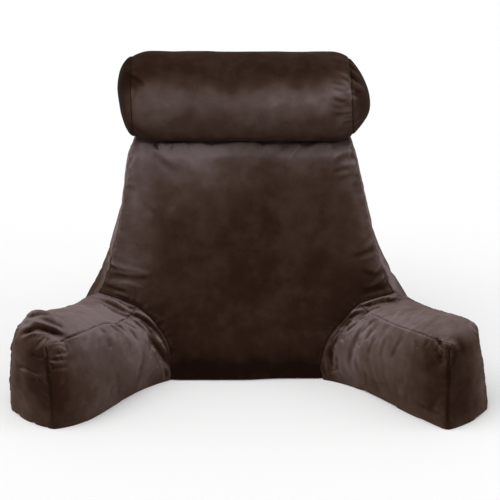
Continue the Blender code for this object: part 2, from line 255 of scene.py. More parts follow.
@dataclass(frozen=True)
class PlushFinish:
    """Brown velvety plush, whose colour follows a value painted on each corner: the way its pile lies,
    together with painted light and shade.

    Attributes:
        name: The material's name.
        lies: Its colours, from dark, for pile standing towards the eye and for painted shade, to pale
            mauve, for pile laid flat and for painted light and sheen.
        mottle: How much the pile's lie changes from place to place.
        scuffs: How strong the small scuffs are.
        sheen: Strength of the pile's pale edge.
        sheen_tint: Colour of that edge.
        pile_depth: Height of the pile's relief, in metres.
        seam_line: Half width of the dark line in a seam, in metres.
        seam_share: How far that line covers the cloth's own colour.
    """

    name: str
    lies: tuple[Colour, ...] = (
        (0.0115, 0.0045, 0.0022),
        (0.0305, 0.0142, 0.0086),
        (0.0590, 0.0340, 0.0250),
        (0.1050, 0.0725, 0.0640),
        (0.1850, 0.1400, 0.1400),
    )
    mottle: float = 0.20
    scuffs: float = 0.05
    sheen: float = 0.03
    sheen_tint: Colour = (1.0, 0.80, 0.74)
    pile_depth: float = 0.8 * MM
    seam_line: float = 1.5 * MM
    seam_share: float = 0.75

    def material(self) -> bpy.types.Material:
        """Build the material.

        Returns:
            The new material.
        """
        made = bpy.data.materials.new(self.name)
        made.use_nodes = True
        sheet = NodeSheet(made.node_tree)
        shader = made.node_tree.nodes["Principled BSDF"]
        place = sheet.add("ShaderNodeTexCoord", (-1100, 0)).outputs["Object"]
        # The painted value: the pile's lie together with painted light and shade.
        pile_and_painted_light = sheet.add("ShaderNodeAttribute", (-1100, 300), attribute_name=Mark.PILE_AND_PAINTED_LIGHT.value)
        gap = sheet.add("ShaderNodeAttribute", (-1100, -300), attribute_name=Mark.SEAM_GAP.value)
        nap = sheet.add("ShaderNodeGroup", (-900, 0), node_tree=NapGroup.tree())
        sheet.join(place, nap.inputs["Vector"])
        stirred = sheet.math("SUBTRACT", nap.outputs["Mottle"], 0.5, (-700, 150))
        stirred = sheet.math("MULTIPLY", stirred, self.mottle, (-550, 150))
        lie = sheet.math("ADD", stirred, pile_and_painted_light.outputs["Fac"], (-400, 150))
        scuffed = sheet.math("MULTIPLY", nap.outputs["Scuffs"], self.scuffs, (-550, 0))
        lie = sheet.math("SUBTRACT", lie, scuffed, (-250, 150), clamp=True)
        # The ramp's dark end serves for painted shade as well as standing pile, its pale mauve end for
        # painted light and sheen as well as flattened pile.
        colour = sheet.add("ShaderNodeValToRGB", (-100, 150))
        stops = colour.color_ramp.elements
        for _ in self.lies[2:]:
            stops.new(0.5)
        for index, (stop, shade) in enumerate(zip(stops, self.lies)):
            stop.position = index / (len(self.lies) - 1)
            stop.color = (*shade, 1.0)
        sheet.join(lie, colour.inputs["Fac"])
        line = sheet.spread(gap.outputs["Fac"], self.seam_line, 0.2 * self.seam_line, (-700, -300))
        line = sheet.math("MULTIPLY", line, self.seam_share, (-550, -300))
        sewn = sheet.mix(line, colour.outputs["Color"], self.lies[0], (200, 150))
        sheet.join(sewn, shader.inputs["Base Color"])
        bump = sheet.add("ShaderNodeBump", (-100, -200))
        bump.inputs["Strength"].default_value = 0.5
        bump.inputs["Distance"].default_value = self.pile_depth
        sheet.join(nap.outputs["Height"], bump.inputs["Height"])
        sheet.join(bump.outputs["Normal"], shader.inputs["Normal"])
        shader.inputs["Roughness"].default_value = 0.9
        shader.inputs["Diffuse Roughness"].default_value = 1.0
        shader.inputs["Specular IOR Level"].default_value = 0.03
        shader.inputs["Sheen Weight"].default_value = self.sheen
        shader.inputs["Sheen Roughness"].default_value = 0.45
        shader.inputs["Sheen Tint"].default_value = (*self.sheen_tint, 1.0)
        return made


BODY_PLUSH = PlushFinish("body_plush")
ROLL_PLUSH = PlushFinish("roll_plush")
POCKET_PLUSH = PlushFinish("pocket_plush")


# ---------------------------------------------------------------------------------------------
# Surface shaping
# ---------------------------------------------------------------------------------------------


def coordinates(mesh: bpy.types.Mesh) -> np.ndarray:
    """Read where a mesh's corners are.

    Args:
        mesh: The mesh.

    Returns:
        Its corners, one a row.
    """
    places = np.empty(len(mesh.vertices) * 3)
    mesh.vertices.foreach_get("co", places)
    return places.reshape(-1, 3)


def place_corners(mesh: bpy.types.Mesh, places: np.ndarray) -> None:
    """Move a mesh's corners."""
    mesh.vertices.foreach_set("co", places.ravel())
    mesh.update()


def normals(mesh: bpy.types.Mesh) -> np.ndarray:
    """Read a mesh's corner normals.

    Args:
        mesh: The mesh.

    Returns:
        Its normals, one a row.
    """
    found = np.empty(len(mesh.vertices) * 3)
    mesh.vertex_normals.foreach_get("vector", found)
    return found.reshape(-1, 3)


def group_weights(thing: bpy.types.Object, group: Group) -> np.ndarray:
    """Read how far each corner is in a vertex group.

    Args:
        thing: The object whose mesh it is.
        group: The group.

    Returns:
        A weight for each corner, from 0 to 1.
    """
    index = thing.vertex_groups[group.value].index
    return np.array([next((entry.weight for entry in vert.groups if entry.group == index), 0.0)
                     for vert in thing.data.vertices])


def grain(places: np.ndarray, size: float, seed: int) -> np.ndarray:
    """Smooth noise over places.

    Args:
        places: One place a row.
        size: Size of its lumps, in metres.
        seed: Which of the many noises it is.

    Returns:
        A value from about -1 to 1 for each place.
    """
    spots = places / size + np.array((7.3, 3.1, 5.7)) * seed
    return np.array([noise.noise(spot) for spot in spots.tolist()])


def ramp(values: np.ndarray, low: float, high: float) -> np.ndarray:
    """Smooth step from 0 at low to 1 at high."""
    share = np.clip((values - low) / (high - low), 0.0, 1.0)
    return share * share * (3.0 - 2.0 * share)


def solid_tree(node: str) -> BVHTree:
    """A solid's skin, to measure distances from.

    Args:
        node: The solid's name.

    Returns:
        Its tree.
    """
    block = bmesh.new()
    block.from_mesh(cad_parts[node].data)
    tree = BVHTree.FromBMesh(block)
    block.free()
    return tree


def as_read(stop: Place) -> Vector:
    """A place in the part's frame, from its millimetres as read in the view."""
    return Vector([part * MM for part in stop]) + READ_FROM


def follow(places: np.ndarray, course: Sequence[Place]) -> tuple[np.ndarray, np.ndarray]:
    """Where places lie beside a course.

    Args:
        places: One place a row.
        course: The course's stops, as read in the view.

    Returns:
        How far each place is from it, and how far along it, from 0 to 1, the nearest spot is.
    """
    stops = [np.array(as_read(stop)) for stop in course]
    lengths = [np.linalg.norm(after - before) for before, after in zip(stops, stops[1:])]
    nearest = np.linalg.norm(places - stops[0], axis=1)
    along = np.zeros(len(places))
    walked = 0.0
    for before, after, length in zip(stops, stops[1:], lengths):
        share = np.clip((places - before) @ (after - before) / length ** 2, 0.0, 1.0)
        gap = np.linalg.norm(places - before - share[:, None] * (after - before), axis=1)
        closer = gap < nearest
        nearest = np.where(closer, gap, nearest)
        along = np.where(closer, (walked + share * length) / sum(lengths), along)
        walked += length
    return nearest, along


COURSE_STEP = 6.0 * MM
COURSE_SMOOTHINGS = 3


def laid_onto(skin: BVHTree, course: Sequence[Place]) -> list[Place]:
    """Lay a course onto a skin, and smooth what the skin's facets do to it.

    Args:
        skin: The skin.
        course: The course's stops, as read in the view.

    Returns:
        Closer stops, on the skin.
    """
    stops = [as_read(stop) for stop in course]
    laid = []
    for before, after in zip(stops, stops[1:]):
        count = max(1, round((after - before).length / COURSE_STEP))
        laid += [before.lerp(after, step / count) for step in range(count)]
    laid = np.array([skin.find_nearest(stop)[0] - READ_FROM for stop in laid + [stops[-1]]]) / MM
    for _ in range(COURSE_SMOOTHINGS):
        laid[1:-1] = (laid[:-2] + 2.0 * laid[1:-1] + laid[2:]) / 4.0
    return [tuple(stop) for stop in laid.tolist()]


@dataclass(frozen=True)
class Fold:
    """A soft trough in a cushion's skin, with a rolled lip on each side; a ridge if its depth is negative.

    Attributes:
        course: Its places, as read in the view.
        width: Half width of the trough, in millimetres.
        depth: Its depth, in millimetres.
        lip: Height of its lips, as a share of the depth.
    """

    course: tuple[Place, ...]
    width: float
    depth: float
    lip: float = 0.18

    END_DEPTH = 0.06
    TAPER = 1.5
    LIP_AT = 1.9
    LIP_WIDTH = 0.8

    def press(self, places: np.ndarray, skin: BVHTree) -> np.ndarray:
        """How far each place moves outwards.

        Args:
            places: One place a row.
            skin: The skin that the fold lies in, which its course is laid onto.

        Returns:
            Metres outwards for each place, below zero in the trough.
        """
        gap, along = follow(places, laid_onto(skin, self.course))
        turn = math.pi * (self.END_DEPTH + (1.0 - 2.0 * self.END_DEPTH) * along)
        taper = np.clip(np.sin(turn) * self.TAPER, 0.0, 1.0)
        across = gap / (self.width * MM)
        lips = self.lip * np.exp(-((across - self.LIP_AT) / self.LIP_WIDTH) ** 2)
        return self.depth * MM * taper * (lips - np.exp(-across ** 2))


@dataclass(frozen=True)
class Stroke:
    """A stretch painted paler, or darker where the amount is below zero; some stand for the pile's own
    tone, others are painted shadow, shade and highlight.

    Attributes:
        course: Its places, as read in the view.
        width: Half width, in millimetres.
        amount: How much paler it is.
    """

    course: tuple[Place, ...]
    width: float
    amount: float

    def lay(self, places: np.ndarray) -> np.ndarray:
        """How much paler each place is."""
        gap, _ = follow(places, self.course)
        return self.amount * np.exp(-(gap / (self.width * MM)) ** 2)


@dataclass(frozen=True)
class Nudge:
    """A soft move of a part of a cushion's skin.

    Attributes:
        course: Where it is strongest, as read in the view.
        reach: How far from there it fades, in millimetres.
        move: The move, in millimetres.
    """

    course: tuple[Place, ...]
    reach: float
    move: Place

    def shift(self, places: np.ndarray) -> np.ndarray:
        """How each place moves.

        Args:
            places: One place a row.

        Returns:
            One move a row.
        """
        gap, _ = follow(places, self.course)
        return np.exp(-(gap / (self.reach * MM)) ** 2)[:, None] * np.array(self.move) * MM


@dataclass(frozen=True)
class Drape:
    """Shallow wrinkles that run side by side over a panel.

    Attributes:
        facing: Which way the panel faces.
        heading: Which way they run.
        spacing: How far apart they are.
        length: How long they are.
        height: How far they stand out.
    """

    facing: Place
    heading: Place
    spacing: float
    length: float
    height: float

    FACING_FROM = 0.35
    FACING_FULL = 0.85

    def press(self, places: np.ndarray, facing: np.ndarray, seed: int) -> np.ndarray:
        """How far each place moves outwards.

        Args:
            places: One place a row.
            facing: The normals there.
            seed: Which noise they follow.

        Returns:
            Metres outwards for each place.
        """
        heading = np.array(Vector(self.heading).normalized())
        along = (places @ heading)[:, None] * heading
        spots = (places - along) / self.spacing + along / self.length
        towards = facing @ np.array(Vector(self.facing).normalized())
        share = ramp(towards, self.FACING_FROM, self.FACING_FULL)
        return self.height * grain(spots, 1.0, seed) * share


class SewnLines:
    """The seams of a cushion, as close-set points that distances are measured from."""

    STEP = 1.0 * MM

    def __init__(self, stretches: Iterable[tuple[Vector, Vector]]) -> None:
        """Lay points along straight stretches.

        Args:
            stretches: The two ends of each.
        """
        points = []
        for start, end in stretches:
            count = max(1, math.ceil((end - start).length / self.STEP))
            points += [start.lerp(end, step / count) for step in range(count + 1)]
        self.points = np.array(points).reshape(-1, 3)
        self.tree = KDTree(len(points))
        for index, point in enumerate(points):
            self.tree.insert(point, index)
        self.tree.balance()

    def nearest(self, places: np.ndarray) -> tuple[np.ndarray, np.ndarray]:
        """The nearest sewn point to each place.

        Args:
            places: One place a row.

        Returns:
            The nearest points, one a row, and how far each is.
        """
        found = [self.tree.find(place) for place in places.tolist()]
        feet = self.points[[index for _, index, _ in found]]
        return feet, np.array([gap for _, _, gap in found])


@dataclass(frozen=True)
class Pucker:
    """How a seam gathers the cloth beside it.

    Attributes:
        groove: Depth of the seam's own groove, in metres.
        groove_width: Its half width.
        height: Height of the gathers beside it.
        reach: How far they run into the panel.
        pitch: Size of one gather along the seam.
    """

    groove: float = 2.0 * MM
    groove_width: float = 2.6 * MM
    height: float = 1.6 * MM
    reach: float = 18.0 * MM
    pitch: float = 12.0 * MM

    FINE_SHARE = 0.6
    FINE_PITCH = 0.45
    PEAK_AT = 0.30
    PATCH = 70.0 * MM
    USUAL = 0.6
    PATCHY = 1.2
    FAINTEST = 0.1
    STRONGEST = 1.4

    def press(self, feet: np.ndarray, gaps: np.ndarray, seed: int,
              share: np.ndarray | float = 1.0) -> np.ndarray:
        """How far each place moves outwards.

        Args:
            feet: The nearest sewn point to each place.
            gaps: How far it is.
            seed: Which noise the gathers follow.
            share: How strong the gathers are.

        Returns:
            Metres outwards for each place.
        """
        groove = -self.groove * np.exp(-(gaps / self.groove_width) ** 2)
        fine = grain(feet, self.pitch * self.FINE_PITCH, seed + 1)
        gathered = grain(feet, self.pitch, seed) + self.FINE_SHARE * fine
        where = np.clip(self.USUAL + self.PATCHY * grain(feet, self.PATCH, seed + 2),
                        self.FAINTEST, self.STRONGEST)
        near = gaps / (self.PEAK_AT * self.reach)
        return groove + self.height * share * gathered * where * near * np.exp(1.0 - near)


# ---------------------------------------------------------------------------------------------
# Pieces
# ---------------------------------------------------------------------------------------------


@dataclass
class SoftPiece:
    """A piece of plush that stands for a solid.

    Attributes:
        node: The solid that it replaces.
        slot: The record's material slot that its cloth is from; not used.
        finish: Its cloth.
        seed: Which noises it follows.
        fill: From 0, slack, to 1, tight; not used.
        pile_and_painted_light: How pale it is painted, before the painted light and shade and the strokes
            that follow.
        painted_top_light: Painted top light: how much paler it is where it faces up.
        painted_side_light: Painted side light: how much paler it is where it faces to the side.
        painted_fold_shading: Painted light and shade on folds: how much paler it is for each metre that a
            fold or gather stands out, and darker where it sinks in.
        strokes: Stretches painted paler or darker: some the pile's own tone, others painted shadow, shade
            and highlight.
    """

    node: str
    slot: str = "brown_plush"
    finish: PlushFinish = BODY_PLUSH
    seed: int = 1
    fill: float = 0.7
    pile_and_painted_light: float = 0.27
    painted_top_light: float = 0.0
    painted_side_light: float = 0.0
    painted_fold_shading: float = 45.0
    strokes: Sequence[Stroke] = field(default_factory=tuple)

    LOWEST_RELIEF = -5.0 * MM
    HIGHEST_RELIEF = 2.0 * MM
    STIR = 14.0 * MM
    STIR_SIZE = 32.0 * MM
    FACING_UP = (0.25, 0.95)
    FACING_SIDEWAYS = (0.2, 0.9)

    def started(self, block: bmesh.types.BMesh) -> bpy.types.Object:
        """Turn a bmesh into the piece's object.

        Args:
            block: The bmesh, which is freed.

        Returns:
            The new object.
        """
        mesh = bpy.data.meshes.new(self.node + "_plush")
        block.to_mesh(mesh)
        block.free()
        thing = bpy.data.objects.new(mesh.name, mesh)
        bpy.context.collection.objects.link(thing)
        return thing

    @staticmethod
    def apply(thing: bpy.types.Object) -> None:
        """Apply a thing's modifiers to its mesh.

        Args:
            thing: The object.
        """
        graph = bpy.context.evaluated_depsgraph_get()
        mesh = bpy.data.meshes.new_from_object(thing.evaluated_get(graph), preserve_all_data_layers=True,
                                               depsgraph=graph)
        thing.modifiers.clear()
        old = thing.data
        thing.data = mesh
        bpy.data.meshes.remove(old)
        mesh.name = thing.name

    def pile(self, places: np.ndarray, facing: np.ndarray, relief: np.ndarray) -> np.ndarray:
        """How pale each place is painted: the pile's tone, with painted light and shade added.

        Args:
            places: One place a row.
            facing: The normals there.
            relief: How far the cloth stands out there.

        Returns:
            From 0, deep, to 1, pale.
        """
        # The base tone, plus painted top light where it faces up.
        pale = self.pile_and_painted_light + self.painted_top_light * ramp(facing[:, 2], *self.FACING_UP)
        # Painted side light: paler where it faces to the side.
        pale += self.painted_side_light * ramp(np.abs(facing[:, 0]), *self.FACING_SIDEWAYS)
        # Painted light and shade on folds: paler on ridges, darker in troughs.
        pale += self.painted_fold_shading * np.clip(relief, self.LOWEST_RELIEF, self.HIGHEST_RELIEF)
        stirred = places + self.STIR * grain(places, self.STIR_SIZE, self.seed + 40)[:, None]
        # The strokes: the pile's own tone, and painted shadow, shade and highlight.
        for stroke in self.strokes:
            pale += stroke.lay(stirred)
        return np.clip(pale, 0.0, 1.0)

    @staticmethod
    def mark(mesh: bpy.types.Mesh, name: Mark, values: np.ndarray) -> None:
        """Write a value at each corner of a mesh."""
        mesh.attributes.new(name.value, "FLOAT", "POINT").data.foreach_set("value", values)

    def dress(self, thing: bpy.types.Object, seam_gaps: np.ndarray, relief: np.ndarray) -> None:
        """Give a piece its cloth and its place in the model.

        Args:
            thing: The piece.
            seam_gaps: How far each corner is from a seam.
            relief: How far folds and gathers stand out at each corner.
        """
        mesh = thing.data
        self.mark(mesh, Mark.PILE_AND_PAINTED_LIGHT, self.pile(coordinates(mesh), normals(mesh), relief))
        self.mark(mesh, Mark.SEAM_GAP, seam_gaps)
        mesh.materials.clear()
        mesh.materials.append(self.finish.material())
        mesh.shade_smooth()
        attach(thing, ROOT)
        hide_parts(self.node)


@dataclass
class Cushion(SoftPiece):
    """A filled cushion, made from a copy of its solid's skin.

    Attributes:
        beside: The solids that it is sewn to or lies against, where its skin stays as it is.
        cap: How far the filling may push a point, in metres.
        pressure: The filling's push.
        slack: Share by which the cloth is larger than the skin it starts as.
        lumps: Height of the filling's broad lumps.
        wander: How far the seams stray from their line.
        pucker: How its seams gather the cloth.
        folds: Its folds.
        drapes: Its shallow wrinkles.
        nudges: Where it sits otherwise than its solid, before it is filled.
        tuck: How far the base is tucked in under its seam.
        turned_down: Which way the strip over the top turns down, where it isn't sewn.
        faint: How much fainter the base's seam shows, as a distance.
    """

    beside: tuple[str, ...] = ()
    cap: float = 7.0 * MM
    pressure: float = 4.0
    slack: float = 0.02
    lumps: float = 1.6 * MM
    wander: float = 1.5 * MM
    pucker: Pucker = Pucker()
    folds: Sequence[Fold] = field(default_factory=tuple)
    drapes: Sequence[Drape] = field(default_factory=tuple)
    nudges: Sequence[Nudge] = field(default_factory=tuple)
    tuck: float = 0.5 * MM
    turned_down: Place | None = None
    faint: float = 0.9 * MM

    SEAM_ANGLE = math.radians(34.0)
    MENDED_ANGLE = math.radians(12.0)
    MENDED_EDGES = 40
    QUAD_ANGLE = math.radians(60.0)
    STRAIGHT_ON = 0.75
    FLOOR_BAND = 3.0 * MM
    BASE_SEAM = 13.0 * MM
    BASE_SNAP = 1.5 * MM
    BASE_NEAR = 0.1 * MM
    RIM_CREASE = 0.75
    TOP_FACING = 0.55
    SIDE_FACING = 0.75
    TURNED_FACING = 0.5
    NUDGED_FULL_AT = 40.0 * MM
    FRAMES = 20
    HELD_NEAR = 5.0 * MM
    LOW_FILL = 0.3
    FULL_FILL_AT = 50.0 * MM
    LUMP_SIZE = 60.0 * MM
    SMALL_LUMP_SIZE = 24.0 * MM
    SMALL_LUMPS = 0.4
    CALM_UNDER = 16.0 * MM
    FULL_ABOVE = 60.0 * MM
    CALM_SHARE = 0.2
    LUMPS_FROM_SEAM = 18.0 * MM
    FOLDS_FROM_SEAM = 5.0 * MM
    FOLDS_LOST = 0.6
    CLEAR = (1.0 * MM, 9.0 * MM)
    RAISED = (1.0 * MM, 6.0 * MM)
    SINKS_BESIDE = 0.3
    WANDER_SIZE = 34.0 * MM
    WANDER_REACH = 15.0 * MM

    def skin(self) -> bmesh.types.BMesh:
        """Copy the solid's skin, in quads where it can be, and cut it along the base's seam.

        Returns:
            The merged copy.
        """
        block = bmesh.new()
        block.from_mesh(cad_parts[self.node].data)
        bmesh.ops.remove_doubles(block, verts=block.verts, dist=MERGE)
        bmesh.ops.join_triangles(block, faces=block.faces[:], angle_face_threshold=self.SEAM_ANGLE,
                                 angle_shape_threshold=self.QUAD_ANGLE)
        geometry = block.verts[:] + block.edges[:] + block.faces[:]
        bmesh.ops.bisect_plane(block, geom=geometry, dist=self.BASE_SNAP,
                               plane_co=(0.0, 0.0, self.BASE_SEAM), plane_no=(0.0, 0.0, 1.0))
        self.tuck_base(block)
        return block

    def at_base_seam(self, edge: bmesh.types.BMEdge) -> bool:
        """Whether an edge runs along the base's seam."""
        reach = self.BASE_SNAP + self.BASE_NEAR
        return all(abs(vert.co.z - self.BASE_SEAM) < reach for vert in edge.verts)

    def tuck_base(self, block: bmesh.types.BMesh) -> None:
        """Bring the base's rim straight under its seam, a little inwards.

        Args:
            block: The cushion's skin.
        """
        block.normal_update()
        rims = {}
        for edge in block.edges:
            low, high = sorted(edge.verts, key=lambda vert: vert.co.z)
            if low.co.z < self.FLOOR_BAND < high.co.z:
                rims[low] = high.normal.xy.normalized()
        lines = SewnLines([(edge.verts[0].co.copy(), edge.verts[1].co.copy()) for edge in block.edges
                           if self.at_base_seam(edge)])
        lifted = np.array([(vert.co.x, vert.co.y, self.BASE_SEAM) for vert in rims])
        feet, _ = lines.nearest(lifted)
        for (vert, outwards), foot in zip(rims.items(), feet):
            vert.co.xy = Vector(foot[:2]) - outwards * self.tuck

    def is_seam(self, edge: bmesh.types.BMEdge) -> bool:
        """Tell whether two panels are sewn together along an edge.

        Args:
            edge: The edge.

        Returns:
            Whether it is a seam, the base's own seam left out.
        """
        low = min(vert.co.z for vert in edge.verts) < self.FLOOR_BAND
        if low or self.at_base_seam(edge) or self.is_turned_down(edge):
            return False
        return edge.is_convex and edge.calc_face_angle(0.0) > self.SEAM_ANGLE

    def is_floor_rim(self, edge: bmesh.types.BMEdge) -> bool:
        """Whether an edge is where the cushion meets the floor."""
        low = max(vert.co.z for vert in edge.verts) < self.FLOOR_BAND
        return low and edge.is_convex and edge.calc_face_angle(0.0) > self.SEAM_ANGLE

    def is_turned_down(self, edge: bmesh.types.BMEdge) -> bool:
        """Tell whether the strip over the top turns down over an edge without a seam.

        Args:
            edge: The edge.

        Returns:
            Whether it does.
        """
        if self.turned_down is None:
            return False
        low, high = sorted((face.normal for face in edge.link_faces), key=lambda normal: normal.z)
        outwards = low.to_2d().dot(Vector(self.turned_down[:2])) > self.TURNED_FACING
        return high.z > self.TOP_FACING and low.z < self.SIDE_FACING and outwards

    def seams(self, block: bmesh.types.BMesh) -> list[bmesh.types.BMEdge]:
        """The edges along which panels are sewn together.

        Args:
            block: The cushion's skin.

        Returns:
            Those edges, also where a fold flattens a seam.
        """
        found = {edge for edge in block.edges if self.is_seam(edge)}
        ends = [(vert, edge) for edge in found for vert in edge.verts
                if sum(near in found for near in vert.link_edges) == 1]
        for vert, edge in sorted(ends, key=lambda end: (end[0].index, end[1].index)):
            found.update(self.missing_stretch(vert, edge, found))
        return sorted(found, key=lambda edge: edge.index)

    def missing_stretch(self, vert: bmesh.types.BMVert, edge: bmesh.types.BMEdge,
                        found: set[bmesh.types.BMEdge]) -> list[bmesh.types.BMEdge]:
        """Follow a seam on from a loose end to where it is found again.

        Args:
            vert: The loose end.
            edge: The seam's last edge.
            found: The seams so far.

        Returns:
            The edges in between, or none if it isn't found again.
        """
        walked = []
        for _ in range(self.MENDED_EDGES):
            heading = (vert.co - edge.other_vert(vert).co).normalized()
            bent = [near for near in vert.link_edges
                    if near is not edge and near.is_convex
                    and near.calc_face_angle(0.0) > self.MENDED_ANGLE]
            onward = [(heading.dot((near.other_vert(vert).co - vert.co).normalized()), near.index, near)
                      for near in bent]
            if not onward or max(onward)[0] < self.STRAIGHT_ON:
                return []
            edge = max(onward)[2]
            vert = edge.other_vert(vert)
            if edge in found:
                return walked
            walked.append(edge)
            if any(near in found for near in vert.link_edges):
                return walked
        return []

    def rounded(self) -> tuple[bpy.types.Object, SewnLines]:
        """Round the skin between its seams.

        Returns:
            The rounded cushion, and its seams.
        """
        block = self.skin()
        block.verts.index_update()
        block.edges.index_update()
        crease = block.edges.layers.float.new("crease_edge")
        seams = self.seams(block)
        for edge in seams:
            edge[crease] = 1.0
        for edge in block.edges:
            if self.is_floor_rim(edge):
                edge[crease] = self.RIM_CREASE
        starts = np.array([vert.co for vert in block.verts])
        moves = sum((nudge.shift(starts) for nudge in self.nudges), np.zeros_like(starts))
        moves[:, 2] *= ramp(starts[:, 2], 0.0, self.NUDGED_FULL_AT)
        for vert, move in zip(block.verts, moves):
            vert.co += Vector(move)
        lines = SewnLines([(edge.verts[0].co.copy(), edge.verts[1].co.copy()) for edge in seams]
                          + self.sewn_on())
        sewn = sorted({vert.index for edge in seams for vert in edge.verts})
        thing = self.started(block)
        thing.vertex_groups.new(name=Group.SEAM.value).add(sewn, 1.0, "REPLACE")
        self.subdivide(thing, 2)
        return thing, lines

    def sewn_on(self) -> list[tuple[Vector, Vector]]:
        """Stretches along which another cushion is sewn onto this one."""
        return []

    def subdivide(self, thing: bpy.types.Object, levels: int) -> None:
        """Apply a subdivision surface that keeps the seams sharp.

        Args:
            thing: The cushion.
            levels: How often each face is split.
        """
        surface = thing.modifiers.new("rounding", "SUBSURF")
        surface.levels = surface.render_levels = levels
        self.apply(thing)

    def clearance(self, places: np.ndarray) -> np.ndarray:
        """How far each place is from the solids beside it.

        Args:
            places: One place a row.

        Returns:
            The distances.
        """
        gaps = np.full(len(places), 1.0)
        for name in self.beside:
            side = solid_tree(name)
            found = [side.find_nearest(place, 0.1)[3] for place in places.tolist()]
            gaps = np.minimum(gaps, [1.0 if gap is None else gap for gap in found])
        return gaps

    def inflate(self, thing: bpy.types.Object) -> None:
        """Let the filling push the cloth out while the seams hold it.

        Args:
            thing: The cushion.
        """
        start = coordinates(thing.data)
        held = (start[:, 2] < self.BASE_SEAM) | (group_weights(thing, Group.SEAM) > 0.999)
        held |= self.clearance(start) < self.HELD_NEAR
        group = thing.vertex_groups.new(name=Group.HELD.value)
        group.add(np.nonzero(held)[0].tolist(), 1.0, "REPLACE")
        cloth = thing.modifiers.new("filling", "CLOTH")
        settings = cloth.settings
        settings.quality = 5
        settings.mass = 0.2
        settings.tension_stiffness = 12.0
        settings.compression_stiffness = 8.0
        settings.shear_stiffness = 4.0
        settings.bending_stiffness = 0.3
        settings.use_pressure = True
        settings.uniform_pressure_force = self.pressure
        settings.vertex_group_mass = Group.HELD.value
        settings.shrink_min = -self.slack
        settings.effector_weights.gravity = 0.0
        cloth.point_cache.frame_start = 1
        cloth.point_cache.frame_end = self.FRAMES
        for step in range(1, self.FRAMES + 1):
            bpy.context.scene.frame_set(step)
        self.apply(thing)
        moved = coordinates(thing.data) - start
        length = np.linalg.norm(moved, axis=1)
        share = self.cap * np.tanh(length / self.cap) / np.maximum(length, 1.0e-9)
        log.info("%s: the filling moved it %.1f mm at most", self.node, length.max() / MM)
        high = ramp(start[:, 2], self.BASE_SEAM, self.FULL_FILL_AT)
        share *= self.LOW_FILL + (1.0 - self.LOW_FILL) * high
        place_corners(thing.data, start + moved * share[:, None])

    def refine(self, thing: bpy.types.Object, lines: SewnLines) -> None:
        """Split the mesh once more, so that it can hold the fine folds."""
        self.subdivide(thing, 1)

    def shape(self, thing: bpy.types.Object, lines: SewnLines) -> tuple[np.ndarray, np.ndarray]:
        """Add lumps, folds, and the seams' grooves and puckers.

        Args:
            thing: The cushion.
            lines: Its seams.

        Returns:
            How far each corner is from a seam, and how far its folds and gathers stand out.
        """
        places = coordinates(thing.data)
        feet, gaps = lines.nearest(places)
        free = 1.0 - np.exp(-(gaps / self.LUMPS_FROM_SEAM) ** 2)
        out = self.lumps * grain(places, self.LUMP_SIZE, self.seed) * free
        out += self.SMALL_LUMPS * self.lumps * grain(places, self.SMALL_LUMP_SIZE, self.seed + 5) * free
        high = ramp(places[:, 2], self.CALM_UNDER, self.FULL_ABOVE)
        calm = self.CALM_SHARE + (1.0 - self.CALM_SHARE) * high
        out *= calm
        relief = self.pucker.press(feet, gaps, self.seed + 9, calm)
        skin = BVHTree.FromObject(thing, bpy.context.evaluated_depsgraph_get())
        between = 1.0 - self.FOLDS_LOST * np.exp(-(gaps / self.FOLDS_FROM_SEAM) ** 2)
        for fold in self.folds:
            relief += fold.press(places, skin) * between
        facing = normals(thing.data)
        out += relief
        for index, drape in enumerate(self.drapes):
            out += drape.press(places, facing, self.seed + 60 + index) * free
        away = ramp(self.clearance(places), *self.CLEAR)
        raised = ramp(places[:, 2], *self.RAISED)
        out = np.where(out > 0.0, out * away, out * np.maximum(away, self.SINKS_BESIDE)) * raised
        strayed = np.stack([grain(feet, self.WANDER_SIZE, self.seed + 20 + axis) for axis in range(3)],
                           axis=1)
        near = np.exp(-(gaps / self.WANDER_REACH) ** 2)
        strayed *= (self.wander * near * away * raised * calm)[:, None]
        places += facing * out[:, None] + strayed
        places[:, 2] = np.maximum(places[:, 2], 0.0)
        place_corners(thing.data, places)
        base_gaps = np.abs(places[:, 2] - self.BASE_SEAM) + self.faint
        return np.minimum(gaps, base_gaps), relief

    def build(self) -> bpy.types.Object:
        """Make the cushion.

        Returns:
            The finished piece.
        """
        thing, lines = self.rounded()
        self.inflate(thing)
        self.refine(thing, lines)
        self.dress(thing, *self.shape(thing, lines))
        return thing


